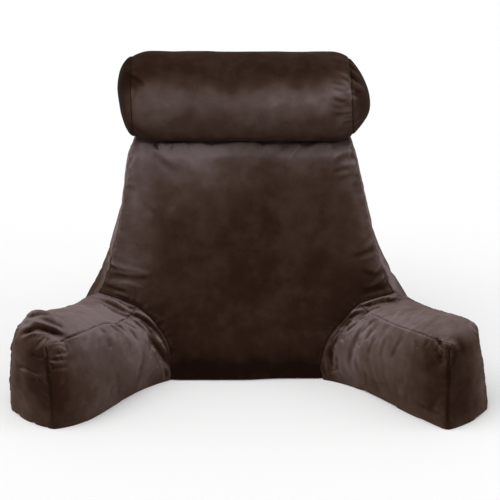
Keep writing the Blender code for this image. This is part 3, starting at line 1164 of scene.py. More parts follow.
ARM_LEFT_FOLDS = [Fold(*row) for row in (
    (((-430, -117, 180), (-417, -128, 187), (-404, -132, 192), (-386, -135, 192)), 8.5, 7),
    (((-398, -152, 190), (-382, -160, 189), (-366, -164, 184), (-352, -170, 177)), 7, 3),
    (((-434, -121, 177), (-421, -139, 182), (-410, -154, 185), (-391, -164, 186), (-381, -167, 184),
      (-361, -172, 178), (-352, -175, 173)), 5.5, -3),
    (((-437, -161, 164), (-424, -168, 174), (-410, -169, 181), (-400, -170, 182), (-390, -174, 181),
      (-380, -179, 178), (-365, -180, 173), (-355, -179, 171)), 7, 7),
    (((-437, -164, 160), (-423, -175, 169), (-413, -180, 175), (-398, -188, 177), (-379, -189, 176),
      (-364, -185, 171)), 4.5, -2),
    (((-370, -197, 173), (-360, -190, 167), (-347, -189, 161)), 3.5, 1.5),
    (((-411, -203, 143), (-400, -214, 144), (-387, -226, 144)), 4.5, 2),
    (((-443, -167, 100), (-427, -187, 108), (-413, -201, 108), (-402, -212, 108), (-389, -224, 112)),
      4.5, 2.5),
    (((-376, -225, 154), (-362, -214, 149), (-348, -202, 145)), 4.5, 1.1),
    (((-376, -225, 148), (-364, -216, 143), (-348, -204, 140)), 4, -1),
    (((-376, -225, 143), (-366, -219, 136), (-353, -210, 134)), 4.5, 1.1),
    (((-376, -232, 125), (-365, -225, 125), (-346, -213, 119)), 4, 1),
    (((-409, -211, 94), (-387, -230, 99)), 6, 1),
    (((-449, -172, 60), (-430, -194, 66)), 5, 1),
    (((-298, 15, 172), (-280, 14, 168), (-259, 9, 163), (-238, 1, 157), (-223, 6, 147), (-205, 9, 133)),
      5, 3.5),
    (((-290, 11, 169), (-269, 6, 165), (-249, 2, 159), (-232, -2, 152), (-217, 6, 141), (-203, 4, 128),
      (-191, 3, 115)), 5.5, -2),
    (((-299, -4, 168), (-279, -5, 162), (-258, -13, 155), (-238, -12, 148)), 4.5, 3),
    (((-236, -12, 146), (-222, -6, 136), (-208, -4, 124), (-194, -3, 110), (-186, -3, 101)), 5.5, 4.5),
    (((-186, -3, 101), (-176, -5, 89), (-168, -11, 71), (-162, -13, 54), (-159, -20, 30)), 4, 3),
    (((-196, -9, 97), (-184, -12, 85), (-172, -14, 70), (-166, -14, 57)), 6.5, -2),
    (((-198, -17, 90), (-186, -20, 75), (-176, -19, 59), (-168, -19, 41), (-162, -23, 27)), 6, 3.5),
    (((-261, -76, 152), (-252, -69, 140), (-241, -65, 123)), 3, 1.6),
    (((-249, -52, 150), (-236, -45, 134), (-221, -37, 117)), 3, 1.6),
    (((-272, -92, 155), (-259, -85, 136)), 3.5, 1.3),
    (((-289, -121, 157), (-282, -117, 145)), 3.5, 1.2),
    (((-236, -53, 126), (-224, -55, 101)), 3.5, 1.2),
    (((-218, -9, 127), (-204, -7, 112), (-196, -9, 97)), 3, 1.8),
    (((-280, -120, 137), (-271, -120, 115)), 8, 2),
    (((-168, -29, 23), (-165, -32, 9)), 4, 2),
    (((-269, -133, 84), (-258, -128, 45)), 6, 0.8),
    (((-224, -68, 76), (-220, -74, 43)), 6, 0.8),
)]
ARM_RIGHT_FOLDS = [Fold(*row) for row in (
    (((225, 9, 147), (241, 6, 153), (261, 4, 160), (281, 3, 164), (307, 0, 166)), 6, 5),
    (((233, 14, 156), (252, 16, 161), (272, 17, 167), (302, 8, 170)), 5, -2),
    (((211, 8, 135), (227, 5, 143), (241, 1, 149)), 4.5, -2.5),
    (((232, 1, 140), (221, 2, 135), (209, 4, 126)), 5, 4),
    (((182, 3, 108), (172, -1, 94)), 5, 4),
    (((186, -5, 98), (170, -8, 77), (158, -8, 61)), 5, -2.5),
    (((194, 2, 113), (190, -4, 104), (182, -5, 93), (170, -8, 77)), 2.5, 1.5),
    (((200, -16, 105), (210, -20, 116), (221, -24, 127)), 4, 3),
    (((200, -19, 102), (196, -26, 87)), 4, 1.8),
    (((172, -12, 65), (172, -17, 51), (173, -21, 38), (175, -24, 26)), 5.5, 3.5),
    (((160, -12, 54), (164, -18, 39), (170, -24, 25)), 4, -1),
    (((180, -19, 55), (180, -23, 41), (180, -25, 28)), 4, -1),
    (((188, -28, 55), (187, -30, 40), (188, -34, 26)), 5, 1.8),
    (((154, -15, 37), (156, -20, 24), (162, -26, 13)), 5, 1.8),
    (((258, -64, 152), (244, -52, 132), (230, -46, 114)), 4, 1.8),
    (((256, -73, 135), (247, -66, 121), (241, -66, 108)), 4, 2),
    (((261, -88, 127), (252, -83, 109), (247, -82, 89)), 4.5, 2),
    (((304, -140, 144), (297, -138, 128), (290, -136, 105)), 5, 2.2),
    (((279, -112, 131), (272, -110, 109), (270, -113, 92)), 5, 1.4),
    (((232, -50, 107), (228, -57, 88)), 4.5, 1.2),
    (((215, -48, 79), (211, -49, 58), (215, -56, 41)), 5, 1.6),
    (((215, -3, 124), (203, -4, 111)), 3, 1.4),
    (((240, -38, 144), (231, -36, 132)), 3, 1.2),
    (((252, -41, 159), (268, -31, 162), (303, -10, 159)), 5, 1.8),
    (((265, -73, 160), (291, -76, 167)), 5, 1.3),
    (((310, -64, 171), (293, -96, 167), (279, -99, 158)), 4, -1.5),
    (((365, -196, 170), (370, -201, 164), (377, -211, 158)), 3.5, 3),
    (((363, -199, 152), (371, -206, 144), (376, -213, 135)), 4.5, 2),
    (((330, -168, 155), (333, -177, 142)), 5, 1.5),
    (((351, -186, 164), (347, -188, 151)), 4, 1.2),
    (((324, -118, 173), (342, -93, 176), (363, -65, 173)), 4.5, -1),
    (((338, -172, 171), (352, -151, 177), (370, -131, 181)), 5, 1),
    (((330, -205, 30), (377, -235, 30)), 4, 2),
)]
BACKREST_FOLDS = [Fold(*row) for row in (
    (((-205, 88, 468), (205, 88, 468)), 17, -8, 0),
    (((-187, 100, 486), (-180, 86, 465)), 9, 6),
    (((-154, 87, 462), (-148, 92, 474)), 5, 4),
    (((-111, 90, 472), (-115, 85, 462)), 4.5, 1.6),
    (((-69, 89, 472), (-71, 84, 464)), 4.5, 1.4),
    (((-14, 88, 473), (-8, 83, 463)), 5, 1.4),
    (((30, 89, 472), (30, 84, 464)), 4.5, 1.6),
    (((87, 89, 472), (79, 84, 462)), 5, 1.6),
    (((125, 90, 472), (123, 87, 464)), 4.5, 1.4),
    (((-200, 89, 457), (-178, 86, 447), (-156, 75, 433), (-141, 69, 423)), 8, 2.5),
    (((-211, 60, 364), (-196, 53, 351), (-180, 46, 337)), 6, 1),
    (((-239, 72, 390), (-223, 68, 385)), 4, 1.2),
    (((-285, 54, 233), (-259, 37, 232), (-228, 31, 227), (-198, 24, 221)), 4.5, -2),
    (((-282, 40, 229), (-264, 36, 224), (-241, 32, 219)), 3.5, 2),
    (((-280, 36, 210), (-249, 31, 210), (-218, 26, 208), (-194, 22, 213)), 5, 3),
    (((-289, 36, 197), (-270, 33, 198), (-239, 26, 196), (-212, 22, 192)), 4.5, -2.5),
    (((-293, 33, 189), (-277, 30, 185), (-260, 27, 180), (-244, 25, 178)), 4, 3),
    (((-272, 25, 176), (-256, 23, 174), (-242, 21, 169)), 3.5, -2),
    (((-270, 22, 171), (-254, 19, 164), (-238, 17, 158), (-217, 14, 150)), 4.5, 3.5),
    (((-205, 11, 137), (-182, 7, 132), (-162, 3, 124)), 5, -1.2),
    (((162, 88, 464), (178, 90, 466), (192, 92, 473), (208, 96, 478)), 7, 2.5),
    (((176, 86, 436), (188, 90, 445), (207, 91, 450), (219, 89, 448)), 6, 2.5),
    (((190, 83, 433), (209, 84, 435), (223, 85, 435)), 4.5, -1.8),
    (((174, 75, 419), (188, 79, 424), (206, 80, 426)), 4.5, 1.8),
    (((178, 72, 413), (192, 76, 417), (204, 78, 421)), 4, -1.2),
    (((184, 71, 406), (196, 73, 408), (209, 76, 412)), 4, 1.2),
    (((209, 71, 394), (223, 74, 395)), 4, 1.2),
    (((232, 38, 270), (242, 42, 277), (253, 47, 284)), 4.5, -1.2),
    (((209, 30, 256), (230, 34, 256), (249, 40, 265), (266, 50, 266)), 5, 1.8),
    (((228, 31, 246), (242, 35, 251), (265, 41, 258)), 4.5, -1.8),
    (((235, 30, 221), (251, 30, 214), (264, 29, 211), (278, 36, 223)), 5, 2),
    (((248, 28, 191), (260, 28, 199), (272, 30, 207), (280, 31, 211)), 4.5, -2),
    (((231, 25, 177), (252, 28, 180), (271, 30, 182), (291, 33, 188)), 7, 2.5),
    (((231, 23, 167), (262, 25, 174), (291, 30, 180)), 3.5, -1.5),
)]
ARM_LEFT_DRAPES = (
    Drape((0.0, 0.0, 1.0), (-0.46, -0.89, 0.0), 16 * MM, 90 * MM, 1.0 * MM),
    Drape((0.89, -0.46, 0.2), (0.1, 0.2, 1.0), 13 * MM, 60 * MM, 0.5 * MM),
)
ARM_RIGHT_DRAPES = (
    Drape((0.0, 0.0, 1.0), (0.46, -0.89, 0.0), 16 * MM, 90 * MM, 1.0 * MM),
    Drape((-0.89, -0.46, 0.2), (-0.1, 0.2, 1.0), 13 * MM, 60 * MM, 0.5 * MM),
)
ARM_LEFT_NUDGES = [Nudge(*row) for row in (
    (((-236, -10, 157), (-262, -65, 158)), 26, (2, -2, -13)),
    (((-410, -110, 185),), 40, (0, 0, 8)),
    (((-335, 30, 170),), 30, (0, 0, 6)),
    (((-462, -165, 10), (-420, -215, 10)), 34, (-2, -1, 0)),
)]
ARM_RIGHT_NUDGES = [Nudge(*row) for row in (
    (((330, 30, 170),), 25, (0, 0, 8)),
    (((460, -160, 170),), 30, (0, 0, 4)),
    (((400, -225, 10),), 60, (0, -8, 0)),
    (((462, -175, 10),), 30, (4, -3, 0)),
    (((455, -150, 138), (462, -170, 0)), 22, (-6, 0, 0)),
    (((470, -105, 80), (474, -110, 0)), 32, (6, 0, 0)),
)]
BACKREST_NUDGES = [Nudge(*row) for row in (
    (((-300, 130, 200), (-240, 140, 450)), 60, (5, 0, 0)),
    (((300, 130, 200), (240, 140, 450)), 60, (-6, 0, 0)),
    (((310, 120, 200), (280, 130, 270)), 50, (-4, 0, 0)),
    (((-140, -18, 0), (-10, -18, 0)), 50, (0, -8, 0)),
)]
# Painted tone on the left arm: partly the pile's own tone, partly painted light and shade.
ARM_LEFT_STROKES = [Stroke(*row) for row in (
    # Painted shade over the end face, which faces the front and gets little light.
    (((-425, -225, 150), (-425, -228, 95)), 42, -0.34),
    (((-250, -80, 130), (-300, -150, 140)), 50, 0.16),
    (((-216, -63, 75), (-205, -45, 50)), 34, 0.24),
    (((-407, -205, 155),), 24, -0.14),
    (((-412, -147, 186),), 16, 0.10),
    (((-450, -175, 130), (-450, -175, 20)), 20, -0.12),
    (((-365, -205, 75), (-365, -205, 25)), 22, 0.12),
    (((-264, -15, 151), (-240, -16, 139)), 13, -0.20),
    (((-215, -60, 20),), 20, 0.12),
)]
# Painted tone on the right arm: partly the pile's own tone, partly painted light and shade.
ARM_RIGHT_STROKES = [Stroke(*row) for row in (
    # Painted shade over the end face, which faces the front and gets little light.
    (((425, -225, 150), (425, -228, 50)), 46, -0.36),
    (((350, -215, 120), (345, -215, 40)), 36, -0.22),
    (((330, -190, 50), (250, -100, 30)), 36, -0.10),
    (((230, -70, 130), (300, -140, 140)), 46, 0.16),
    (((228, -41, 121), (209, -50, 47)), 30, 0.20),
    (((391, -221, 160),), 20, -0.10),
    (((450, -185, 120), (450, -185, 40)), 24, -0.06),
    (((222, -12, 128), (264, -8, 149)), 13, -0.34),
    (((420, -197, 171),), 19, -0.36),
    (((375, -210, 60), (375, -210, 30)), 16, 0.10),
)]
# Painted tone on the backrest: partly the pile's own tone, partly painted light and shade: paler towards
# the panel's top and left side, where the light falls, and painted shade and shadow as marked below.
BACKREST_STROKES = [Stroke(*row) for row in (
    (((-200, 90, 460), (200, 90, 460)), 54, 0.32),
    (((-110, 85, 450), (-60, 70, 400)), 50, 0.20),
    (((-225, 80, 450), (-250, 30, 260), (-270, 20, 215)), 66, 0.36),
    (((225, 80, 450), (265, 20, 280)), 50, 0.22),
    # Painted shade along the panel's foot, between the arms.
    (((-135, -20, 5), (130, -20, 5)), 48, -0.36),
    (((-85, 65, 420), (-85, 45, 370)), 56, 0.17),
    (((87, 75, 444), (87, 45, 369)), 45, 0.10),
    (((198, 69, 395), (199, 48, 325), (199, 28, 254)), 48, 0.12),
    (((-217, 63, 371),), 36, 0.18),
    (((-4, 55, 400), (-4, 45, 370)), 36, 0.10),
    (((87, 30, 260), (130, 30, 300)), 40, 0.07),
    (((-218, 29, 228),), 30, 0.13),
    (((300, 50, 190), (290, 55, 240)), 26, 0.40),
    # Painted shade low on the left side, by the arm's root.
    (((-335, 95, 60), (-315, 85, 200)), 46, -0.42),
    # Painted shadow under the roll, along the panel's top.
    (((-165, 96, 479), (175, 96, 479)), 9, -0.55),
    (((-139, 58, 402), (-139, 45, 368)), 36, 0.19),
    (((246, 50, 330), (262, 45, 250)), 16, 0.12),
)]
# Painted tone on the roll: a painted highlight band round its front, a painted shadow along its underside,
# and darker over its left end.
ROLL_STROKES = [Stroke(*row) for row in (
    # Painted highlight band round the roll's front.
    (((-215, 42, 574), (104, 39, 576), (190, 45, 592)), 36, 0.48),
    (((60, 40, 590), (185, 50, 600)), 26, 0.14),
    (((-220, 46, 524), (220, 46, 524)), 30, 0.18),
    # Painted shadow along the roll's underside, where it lies on the backrest.
    (((-240, 85, 484), (240, 85, 484)), 16, -0.45),
    (((-266, 85, 600), (-266, 85, 520)), 56, -0.34),
    (((256, 100, 600), (256, 100, 520)), 50, -0.06),
    (((200, 42, 548),), 16, 0.26),
    (((-222, 95, 642), (-232, 85, 620)), 20, 0.16),
)]
ROLL_FOLDS = [Fold(*row) for row in (
    (((206, 98, 638), (213, 97, 633), (219, 102, 626)), 4, 3),
    (((206, 82, 630), (216, 85, 622), (225, 95, 613), (232, 106, 604)), 4.5, -3),
    (((209, 74, 622), (216, 75, 616), (224, 84, 606)), 6, 3.5),
    (((206, 63, 613), (213, 65, 609), (222, 72, 600), (233, 86, 587)), 4.5, -3),
    (((207, 58, 605), (215, 58, 597), (226, 70, 585)), 5.5, 3),
    (((211, 53, 590), (222, 61, 582)), 4, 3),
    (((206, 47, 582), (219, 57, 580)), 4, -2),
    (((215, 58, 523), (232, 77, 530)), 4, -1.5),
    (((187, 62, 620), (194, 61, 617), (202, 61, 614)), 3.4, 2.4),
    (((179, 66, 627), (191, 66, 624), (202, 65, 619)), 4, -1.6),
    (((167, 53, 612), (177, 52, 610), (185, 52, 608), (200, 53, 603)), 3.6, 2.6),
    (((187, 48, 599), (202, 51, 598)), 3, 1.6),
    (((169, 47, 602), (185, 46, 596), (200, 48, 592)), 3.4, 2.2),
    (((185, 43, 589), (202, 46, 587)), 3, 1.6),
    (((169, 40, 583), (183, 40, 579), (191, 41, 575), (200, 44, 579)), 4, 3.4),
    (((191, 40, 568), (204, 43, 571)), 3, 1.8),
    (((165, 38, 568), (179, 38, 565), (192, 40, 563)), 3.6, 1.4),
    (((174, 38, 551), (191, 41, 550), (207, 45, 551)), 3.6, 2.2),
    (((190, 42, 542), (210, 48, 542)), 3, 1.4),
    (((190, 45, 532), (210, 51, 532)), 3, 1.8),
    (((-228, 56, 601), (-223, 51, 595), (-224, 49, 589), (-228, 49, 582)), 3.4, -2.2),
    (((-228, 68, 618), (-215, 61, 617), (-203, 51, 606)), 3.6, 1.8),
    (((-227, 76, 625), (-215, 67, 624)), 4, -1.4),
    (((-212, 43, 583), (-203, 43, 586)), 3, 1),
)]


@dataclass
class Backrest(Cushion):
    """The backrest, whose top the neck roll presses down.

    Attributes:
        fine: How near to a seam or a fold its mesh is split once more.
        roll_radius: Radius that it keeps clear of, around the roll's axis.
        roll_centre: The middle of that axis, as read in the view.
    """

    node: str = "backrest"
    beside: tuple[str, ...] = ("arm_left", "arm_right", "neck_roll")
    pucker: Pucker = Pucker(groove=1.2 * MM)
    fine: float = 22.0 * MM
    roll_radius: float = 0.0913
    roll_centre: Place = ROLL_CENTRE

    HIDDEN_ABOVE = 0.463
    HIDDEN_BEFORE = 0.135
    FRONT_BEFORE = 0.05
    SPLIT_ABOVE = 5.0 * MM

    def is_seam(self, edge: bmesh.types.BMEdge) -> bool:
        """Tell whether two panels are sewn together along an edge that the roll doesn't hide.

        Args:
            edge: The edge.

        Returns:
            Whether it is such a seam.
        """
        middle = (edge.verts[0].co + edge.verts[1].co) / 2.0
        hidden = middle.z > self.HIDDEN_ABOVE and middle.y < self.HIDDEN_BEFORE
        return super().is_seam(edge) and not hidden

    def sewn_on(self) -> list[tuple[Vector, Vector]]:
        """Find the arcs along which the arms are sewn onto the front panel.

        Returns:
            The two ends of each stretch of them.
        """
        side = solid_tree(self.node)
        stretches = []
        for name in ("arm_left", "arm_right"):
            arm = Cushion(name)
            block = arm.skin()
            for edge in arm.seams(block):
                ends = [vert.co.copy() for vert in edge.verts]
                near = all(side.find_nearest(end, self.HELD_NEAR)[3] is not None for end in ends)
                above = min(end.z for end in ends) > self.BASE_SEAM
                ahead = max(end.y for end in ends) < self.FRONT_BEFORE
                if near and above and ahead:
                    stretches.append((ends[0], ends[1]))
            block.free()
        return stretches

    def refine(self, thing: bpy.types.Object, lines: SewnLines) -> None:
        """Split only what is near a seam or a fold, as the whole of it would be too heavy.

        Args:
            thing: The cushion.
            lines: Its seams.
        """
        places = coordinates(thing.data)
        _, gaps = lines.nearest(places)
        for fold in self.folds:
            gaps = np.minimum(gaps, follow(places, fold.course)[0])
        near = (gaps < self.fine) & (places[:, 2] >= self.SPLIT_ABOVE)
        block = bmesh.new()
        block.from_mesh(thing.data)
        block.verts.ensure_lookup_table()
        edges = [edge for edge in block.edges if all(near[vert.index] for vert in edge.verts)]
        bmesh.ops.subdivide_edges(block, edges=edges, cuts=1, use_grid_fill=True)
        block.to_mesh(thing.data)
        block.free()

    def shape(self, thing: bpy.types.Object, lines: SewnLines) -> tuple[np.ndarray, np.ndarray]:
        """Shape it as any cushion, then press its top down under the roll.

        Args:
            thing: The cushion.
            lines: Its seams.

        Returns:
            How far each corner is from a seam, and how far its folds and gathers stand out.
        """
        gaps, relief = super().shape(thing, lines)
        places = coordinates(thing.data)
        from_axis = places - np.array(as_read(self.roll_centre))
        from_axis[:, 0] = 0.0
        reach = np.linalg.norm(from_axis, axis=1)
        pressed = np.maximum(self.roll_radius - reach, 0.0)
        place_corners(thing.data, places + from_axis / reach[:, None] * pressed[:, None])
        return gaps, relief


@dataclass(frozen=True)
class RollEnd:
    """One end of the neck roll.

    Attributes:
        side: -1 at the left end and 1 at the right.
        seam_radius: Radius of the round seam.
        dome: How far the end panel stands out past it.
        fullness: How full the panel is.
        apex: How far it peaks above the roll's axis.
        slant: How far the end slips to the side for each unit down.
        pucker: How the seam gathers the tube.
        pleats: How it gathers the end panel.
    """

    side: float
    seam_radius: float
    dome: float
    fullness: float
    apex: float
    slant: float
    pucker: Pucker
    pleats: Pucker


@dataclass
class NeckRoll(SoftPiece):
    """The neck roll: a tube with a round panel sewn in each end.

    Attributes:
        length: Its length over both ends.
        radius: Its radius.
        centre: The middle of its axis, as read in the view.
        shoulder: Length over which it swells from a seam to its full radius.
        ends: Its two ends.
        sides: Facets around it.
        lumps: Height of the filling's lumps.
        folds: Its folds.
    """

    node: str = "neck_roll"
    slot: str = "roll_plush"
    finish: PlushFinish = ROLL_PLUSH
    fill: float = 0.85
    length: float = 0.508
    radius: float = 0.0905
    centre: Place = ROLL_CENTRE
    # Painted light and shade on its folds and gathers, stronger than on the cushions.
    painted_fold_shading: float = 80.0
    shoulder: float = 0.036
    ends: tuple[RollEnd, RollEnd] = (
        RollEnd(side=-1.0, seam_radius=0.081, dome=0.031, fullness=1.9, apex=0.014, slant=0.020,
                pucker=Pucker(groove=0.6 * MM, height=1.0 * MM, reach=24 * MM, pitch=10 * MM),
                pleats=Pucker(groove=0.6 * MM, height=1.0 * MM, reach=40 * MM, pitch=16 * MM)),
        RollEnd(side=1.0, seam_radius=0.078, dome=0.038, fullness=1.0, apex=-0.010, slant=0.065,
                pucker=Pucker(height=1.2 * MM, reach=30 * MM, pitch=8 * MM),
                pleats=Pucker(height=1.4 * MM, reach=60 * MM, pitch=15 * MM)),
    )
    sides: int = 200
    lumps: float = 1.5 * MM
    folds: Sequence[Fold] = field(default_factory=tuple)

    BODY_STEPS = 44
    SHOULDER_STEPS = 16
    DOME_STEPS = 26
    CLOSER_AT_SEAM = 1.4
    LUMP_SIZE = 70.0 * MM
    SMALL_LUMP_SIZE = 28.0 * MM
    SMALL_LUMPS = 0.4
    LUMPS_FROM_SEAM = 20.0 * MM
    CLEAR = (1.0 * MM, 10.0 * MM)
    PLEATS_FROM = 0.1
    PLEATS_FULL = 0.5

    def seam_at(self, end: RollEnd) -> float:
        """How far from its middle an end's seam lies."""
        return self.length / 2.0 - end.dome

    def outline(self, end: RollEnd) -> list[tuple[float, float]]:
        """Half of its outline.

        Args:
            end: The end that it runs to.

        Returns:
            From its middle to the pole, each point's distance along and radius.
        """
        seam = self.seam_at(end)
        swell = self.radius - end.seam_radius
        straight = seam - self.shoulder
        body = [(straight * step / self.BODY_STEPS, self.radius) for step in range(1, self.BODY_STEPS)]
        shares = [(step / self.SHOULDER_STEPS) ** self.CLOSER_AT_SEAM
                  for step in range(self.SHOULDER_STEPS, 0, -1)]
        shoulder = [(seam - self.shoulder * share, end.seam_radius + swell * (1.0 - (1.0 - share) ** 2))
                    for share in shares]
        shares = [1.0 - (step / self.DOME_STEPS) ** self.CLOSER_AT_SEAM
                  for step in range(self.DOME_STEPS)] + [0.0]
        dome = [(seam + end.dome * (1.0 - share * share) ** (1.0 / end.fullness), end.seam_radius * share)
                for share in shares]
        return body + shoulder + dome

    def turned(self) -> bpy.types.Object:
        """Turn the outline about the roll's length.

        Returns:
            The roll, lying along X around the origin.
        """
        left, right = self.ends
        course = [(-along, radius) for along, radius in reversed(self.outline(left))]
        course += [(0.0, self.radius)] + self.outline(right)
        block = bmesh.new()
        verts = [block.verts.new((along, 0.0, radius)) for along, radius in course]
        edges = [block.edges.new(pair) for pair in zip(verts, verts[1:])]
        bmesh.ops.spin(block, geom=verts + edges, cent=(0.0, 0.0, 0.0), axis=(1.0, 0.0, 0.0),
                       angle=2.0 * math.pi, steps=self.sides, use_merge=True)
        bmesh.ops.remove_doubles(block, verts=block.verts[:], dist=MERGE)
        bmesh.ops.recalc_face_normals(block, faces=block.faces[:])
        return self.started(block)

    def gather(self, places: np.ndarray, end: RollEnd) -> tuple[np.ndarray, np.ndarray]:
        """Gather the cloth on both sides of one end's seam.

        Args:
            places: The turned roll's corners.
            end: The end.

        Returns:
            Metres outwards for each corner, and how far it is from the seam.
        """
        seam = self.seam_at(end)
        radii = np.maximum(np.hypot(places[:, 1], places[:, 2]), 0.1 * MM)
        feet = places * (end.seam_radius / radii)[:, None]
        feet[:, 0] = end.side * seam
        past = places[:, 0] * end.side - seam
        on_tube = past <= MERGE
        gaps = np.where(on_tube, -past, np.hypot(past, end.seam_radius - radii))
        tube = end.pucker.press(feet, gaps, self.seed + int(end.side))
        panel = end.pleats.press(feet, gaps, self.seed + 4)
        panel *= ramp(radii, self.PLEATS_FROM * end.seam_radius, self.PLEATS_FULL * end.seam_radius)
        return np.where(on_tube, tube, panel), gaps

    def build(self) -> bpy.types.Object:
        """Make the roll.

        Returns:
            The finished piece.
        """
        thing = self.turned()
        places = coordinates(thing.data)
        facing = normals(thing.data)
        (left, left_gaps), (right, right_gaps) = (self.gather(places, end) for end in self.ends)
        gaps = np.minimum(left_gaps, right_gaps)
        free = 1.0 - np.exp(-(gaps / self.LUMPS_FROM_SEAM) ** 2)
        relief = np.where(places[:, 0] < 0.0, left, right)
        settled = self.settled(places)
        skin = BVHTree.FromPolygons(settled.tolist(), [face.vertices[:] for face in thing.data.polygons])
        for fold in self.folds:
            relief += fold.press(settled, skin)
        small = self.SMALL_LUMPS * grain(places, self.SMALL_LUMP_SIZE, self.seed + 5)
        lumps = grain(places, self.LUMP_SIZE, self.seed) + small
        out = relief + self.lumps * lumps * free
        side = solid_tree("backrest")
        clear = np.array([side.find_nearest(place)[3] for place in settled.tolist()])
        out = np.where(out > 0.0, out * ramp(clear, *self.CLEAR), out)
        place_corners(thing.data, self.settled(places + facing * out[:, None]))
        self.dress(thing, gaps, relief)
        return thing

    def settled(self, places: np.ndarray) -> np.ndarray:
        """Slant the ends and lay the roll in its place.

        Args:
            places: Corners of the turned roll.

        Returns:
            Where they lie on the pillow.
        """
        moved = places.copy()
        for end in self.ends:
            here = places[:, 0] * end.side > 0.0
            past = places[:, 0] * end.side > self.seam_at(end)
            radii = np.hypot(places[:, 1], places[:, 2])
            moved[:, 2] += np.where(past, end.apex * (1.0 - np.minimum(radii / end.seam_radius, 1.0)), 0.0)
            outwards = np.abs(places[:, 0]) / (self.length / 2.0)
            moved[:, 0] -= np.where(here, end.slant * outwards * moved[:, 2], 0.0)
        return moved + np.array(as_read(self.centre))


@dataclass
class PatchPocket(SoftPiece):
    """The patch pocket: one sheet, sewn down along its sides and foot, with a doubled hem at its mouth.

    Attributes:
        arm: The finished arm that it is sewn to.
        foot: Under its front edge, at the arm's tip, as read in the view.
        heading: Along the arm's side, towards the back.
        start: From the foot to its front edge.
        rake: How far the front edge leans back for each unit up.
        length: Its flat length.
        bottom: Height of its foot over the floor.
        height: Its flat height.
        thickness: Thickness of the cloth.
        hem: Height of the doubled hem.
        hem_thickness: Its thickness.
        gap: Space between it and the arm.
        mouth_slack: How far the middle of the mouth stands off.
        stitch_in: How far the stitching lies inside its edges.
        cells: Cells along and up.
    """

    node: str = "pocket_left"
    slot: str = "pocket_plush"
    finish: PlushFinish = POCKET_PLUSH
    arm: bpy.types.Object | None = None
    foot: Place = (-468, -150, 0)
    heading: Place = (0.459, 0.888, 0.0)
    start: float = 4.0 * MM
    rake: float = 0.13
    length: float = 135.0 * MM
    bottom: float = 36.0 * MM
    height: float = 96.0 * MM
    thickness: float = 2.2 * MM
    hem: float = 14.0 * MM
    hem_thickness: float = 3.6 * MM
    gap: float = 0.4 * MM
    mouth_slack: float = 4.0 * MM
    stitch_in: float = 3.5 * MM
    cells: tuple[int, int] = (72, 52)

    STITCH_DEPTH = 0.9 * MM
    STITCH_WIDTH = 1.3 * MM
    EDGE_THINNED = 0.6
    EDGE_WIDTH = 1.2 * MM
    HEM_STEP = 0.8 * MM

    def touched(self, along: np.ndarray, up: np.ndarray, outwards: Vector) -> np.ndarray:
        """Find the arm's side under each point of the pocket.

        Args:
            along: Distances along the pocket, in metres.
            up: Distances up it.
            outwards: Away from the arm's side.

        Returns:
            A place on the arm for each point.
        """
        side = BVHTree.FromObject(self.arm, bpy.context.evaluated_depsgraph_get())
        foot = as_read(self.foot)
        heading = Vector(self.heading)
        found = []
        for reach, height in zip(along.tolist(), up.tolist()):
            place = foot + heading * (self.start + self.rake * height + reach)
            place.z = self.bottom + height
            found.append(side.ray_cast(place + outwards * 0.1, -outwards)[0])
        return np.array(found)

    def build(self) -> bpy.types.Object:
        """Make the pocket.

        Returns:
            The finished piece.
        """
        heading = Vector(self.heading)
        outwards = Vector((-heading.y, heading.x, 0.0))
        block = bmesh.new()
        bmesh.ops.create_grid(block, x_segments=self.cells[0], y_segments=self.cells[1], size=0.5)
        flat = np.array([vert.co for vert in block.verts])
        along = (flat[:, 0] + 0.5) * self.length
        up = (flat[:, 1] + 0.5) * self.height
        under = self.touched(along, up, outwards)
        stand = self.gap + self.mouth_slack * up / self.height * np.sin(np.pi * along / self.length)
        laid = under + np.array(outwards) * stand[:, None]
        for vert, place in zip(block.verts, laid):
            vert.co = place
        edge = np.minimum(np.minimum(along, self.length - along), up)
        below_hem = self.height - self.hem - up
        seams = np.minimum(np.abs(edge - self.stitch_in), np.abs(below_hem))
        hemmed = ramp(below_hem, self.HEM_STEP, -self.HEM_STEP)
        thick = self.thickness + (self.hem_thickness - self.thickness) * hemmed
        thick -= self.STITCH_DEPTH * np.exp(-(seams / self.STITCH_WIDTH) ** 2)
        thick -= self.EDGE_THINNED * self.thickness * ramp(edge, self.EDGE_WIDTH, 0.0)
        outer = bmesh.ops.extrude_face_region(block, geom=block.faces[:])["geom"]
        outer = [item for item in outer if isinstance(item, bmesh.types.BMVert)]
        block.verts.index_update()
        near = KDTree(len(laid))
        for index, place in enumerate(laid):
            near.insert(place, index)
        near.balance()
        for vert in outer:
            vert.co += outwards * thick[near.find(vert.co)[1]]
        bmesh.ops.recalc_face_normals(block, faces=block.faces[:])
        gaps = np.array([seams[near.find(vert.co)[1]] for vert in block.verts])
        thing = self.started(block)
        self.dress(thing, gaps, np.zeros(len(gaps)))
        return thing


# ---------------------------------------------------------------------------------------------
# Studio
# ---------------------------------------------------------------------------------------------


@dataclass(frozen=True)
class Lamp:
    """A far, wide and soft light.

    Attributes:
        name: Its name.
        azimuth: Where it stands, as an angle from the front towards the right.
        elevation: Its height, as an angle.
        strength: Its power on a surface that faces it.
        spread: The angle that it fills.
        colour: Its light.
    """

    name: str
    azimuth: float
    elevation: float
    strength: float
    spread: float = math.radians(60.0)
    colour: Colour = (1.0, 1.0, 1.0)

    def hang(self) -> None:
        """Put the light in the studio."""
        light = bpy.data.lights.new(self.name, "SUN")
        light.angle = self.spread
        light.energy = self.strength
        light.color = self.colour
        thing = bpy.data.objects.new(self.name, light)
        bpy.context.collection.objects.link(thing)
        across = math.cos(self.elevation)
        place = Vector((across * math.sin(self.azimuth), -across * math.cos(self.azimuth),
                        math.sin(self.elevation)))
        facing = place.to_track_quat("Z", "Y").to_matrix().to_4x4()
        thing.matrix_world = Matrix.Translation(3.0 * place) @ facing


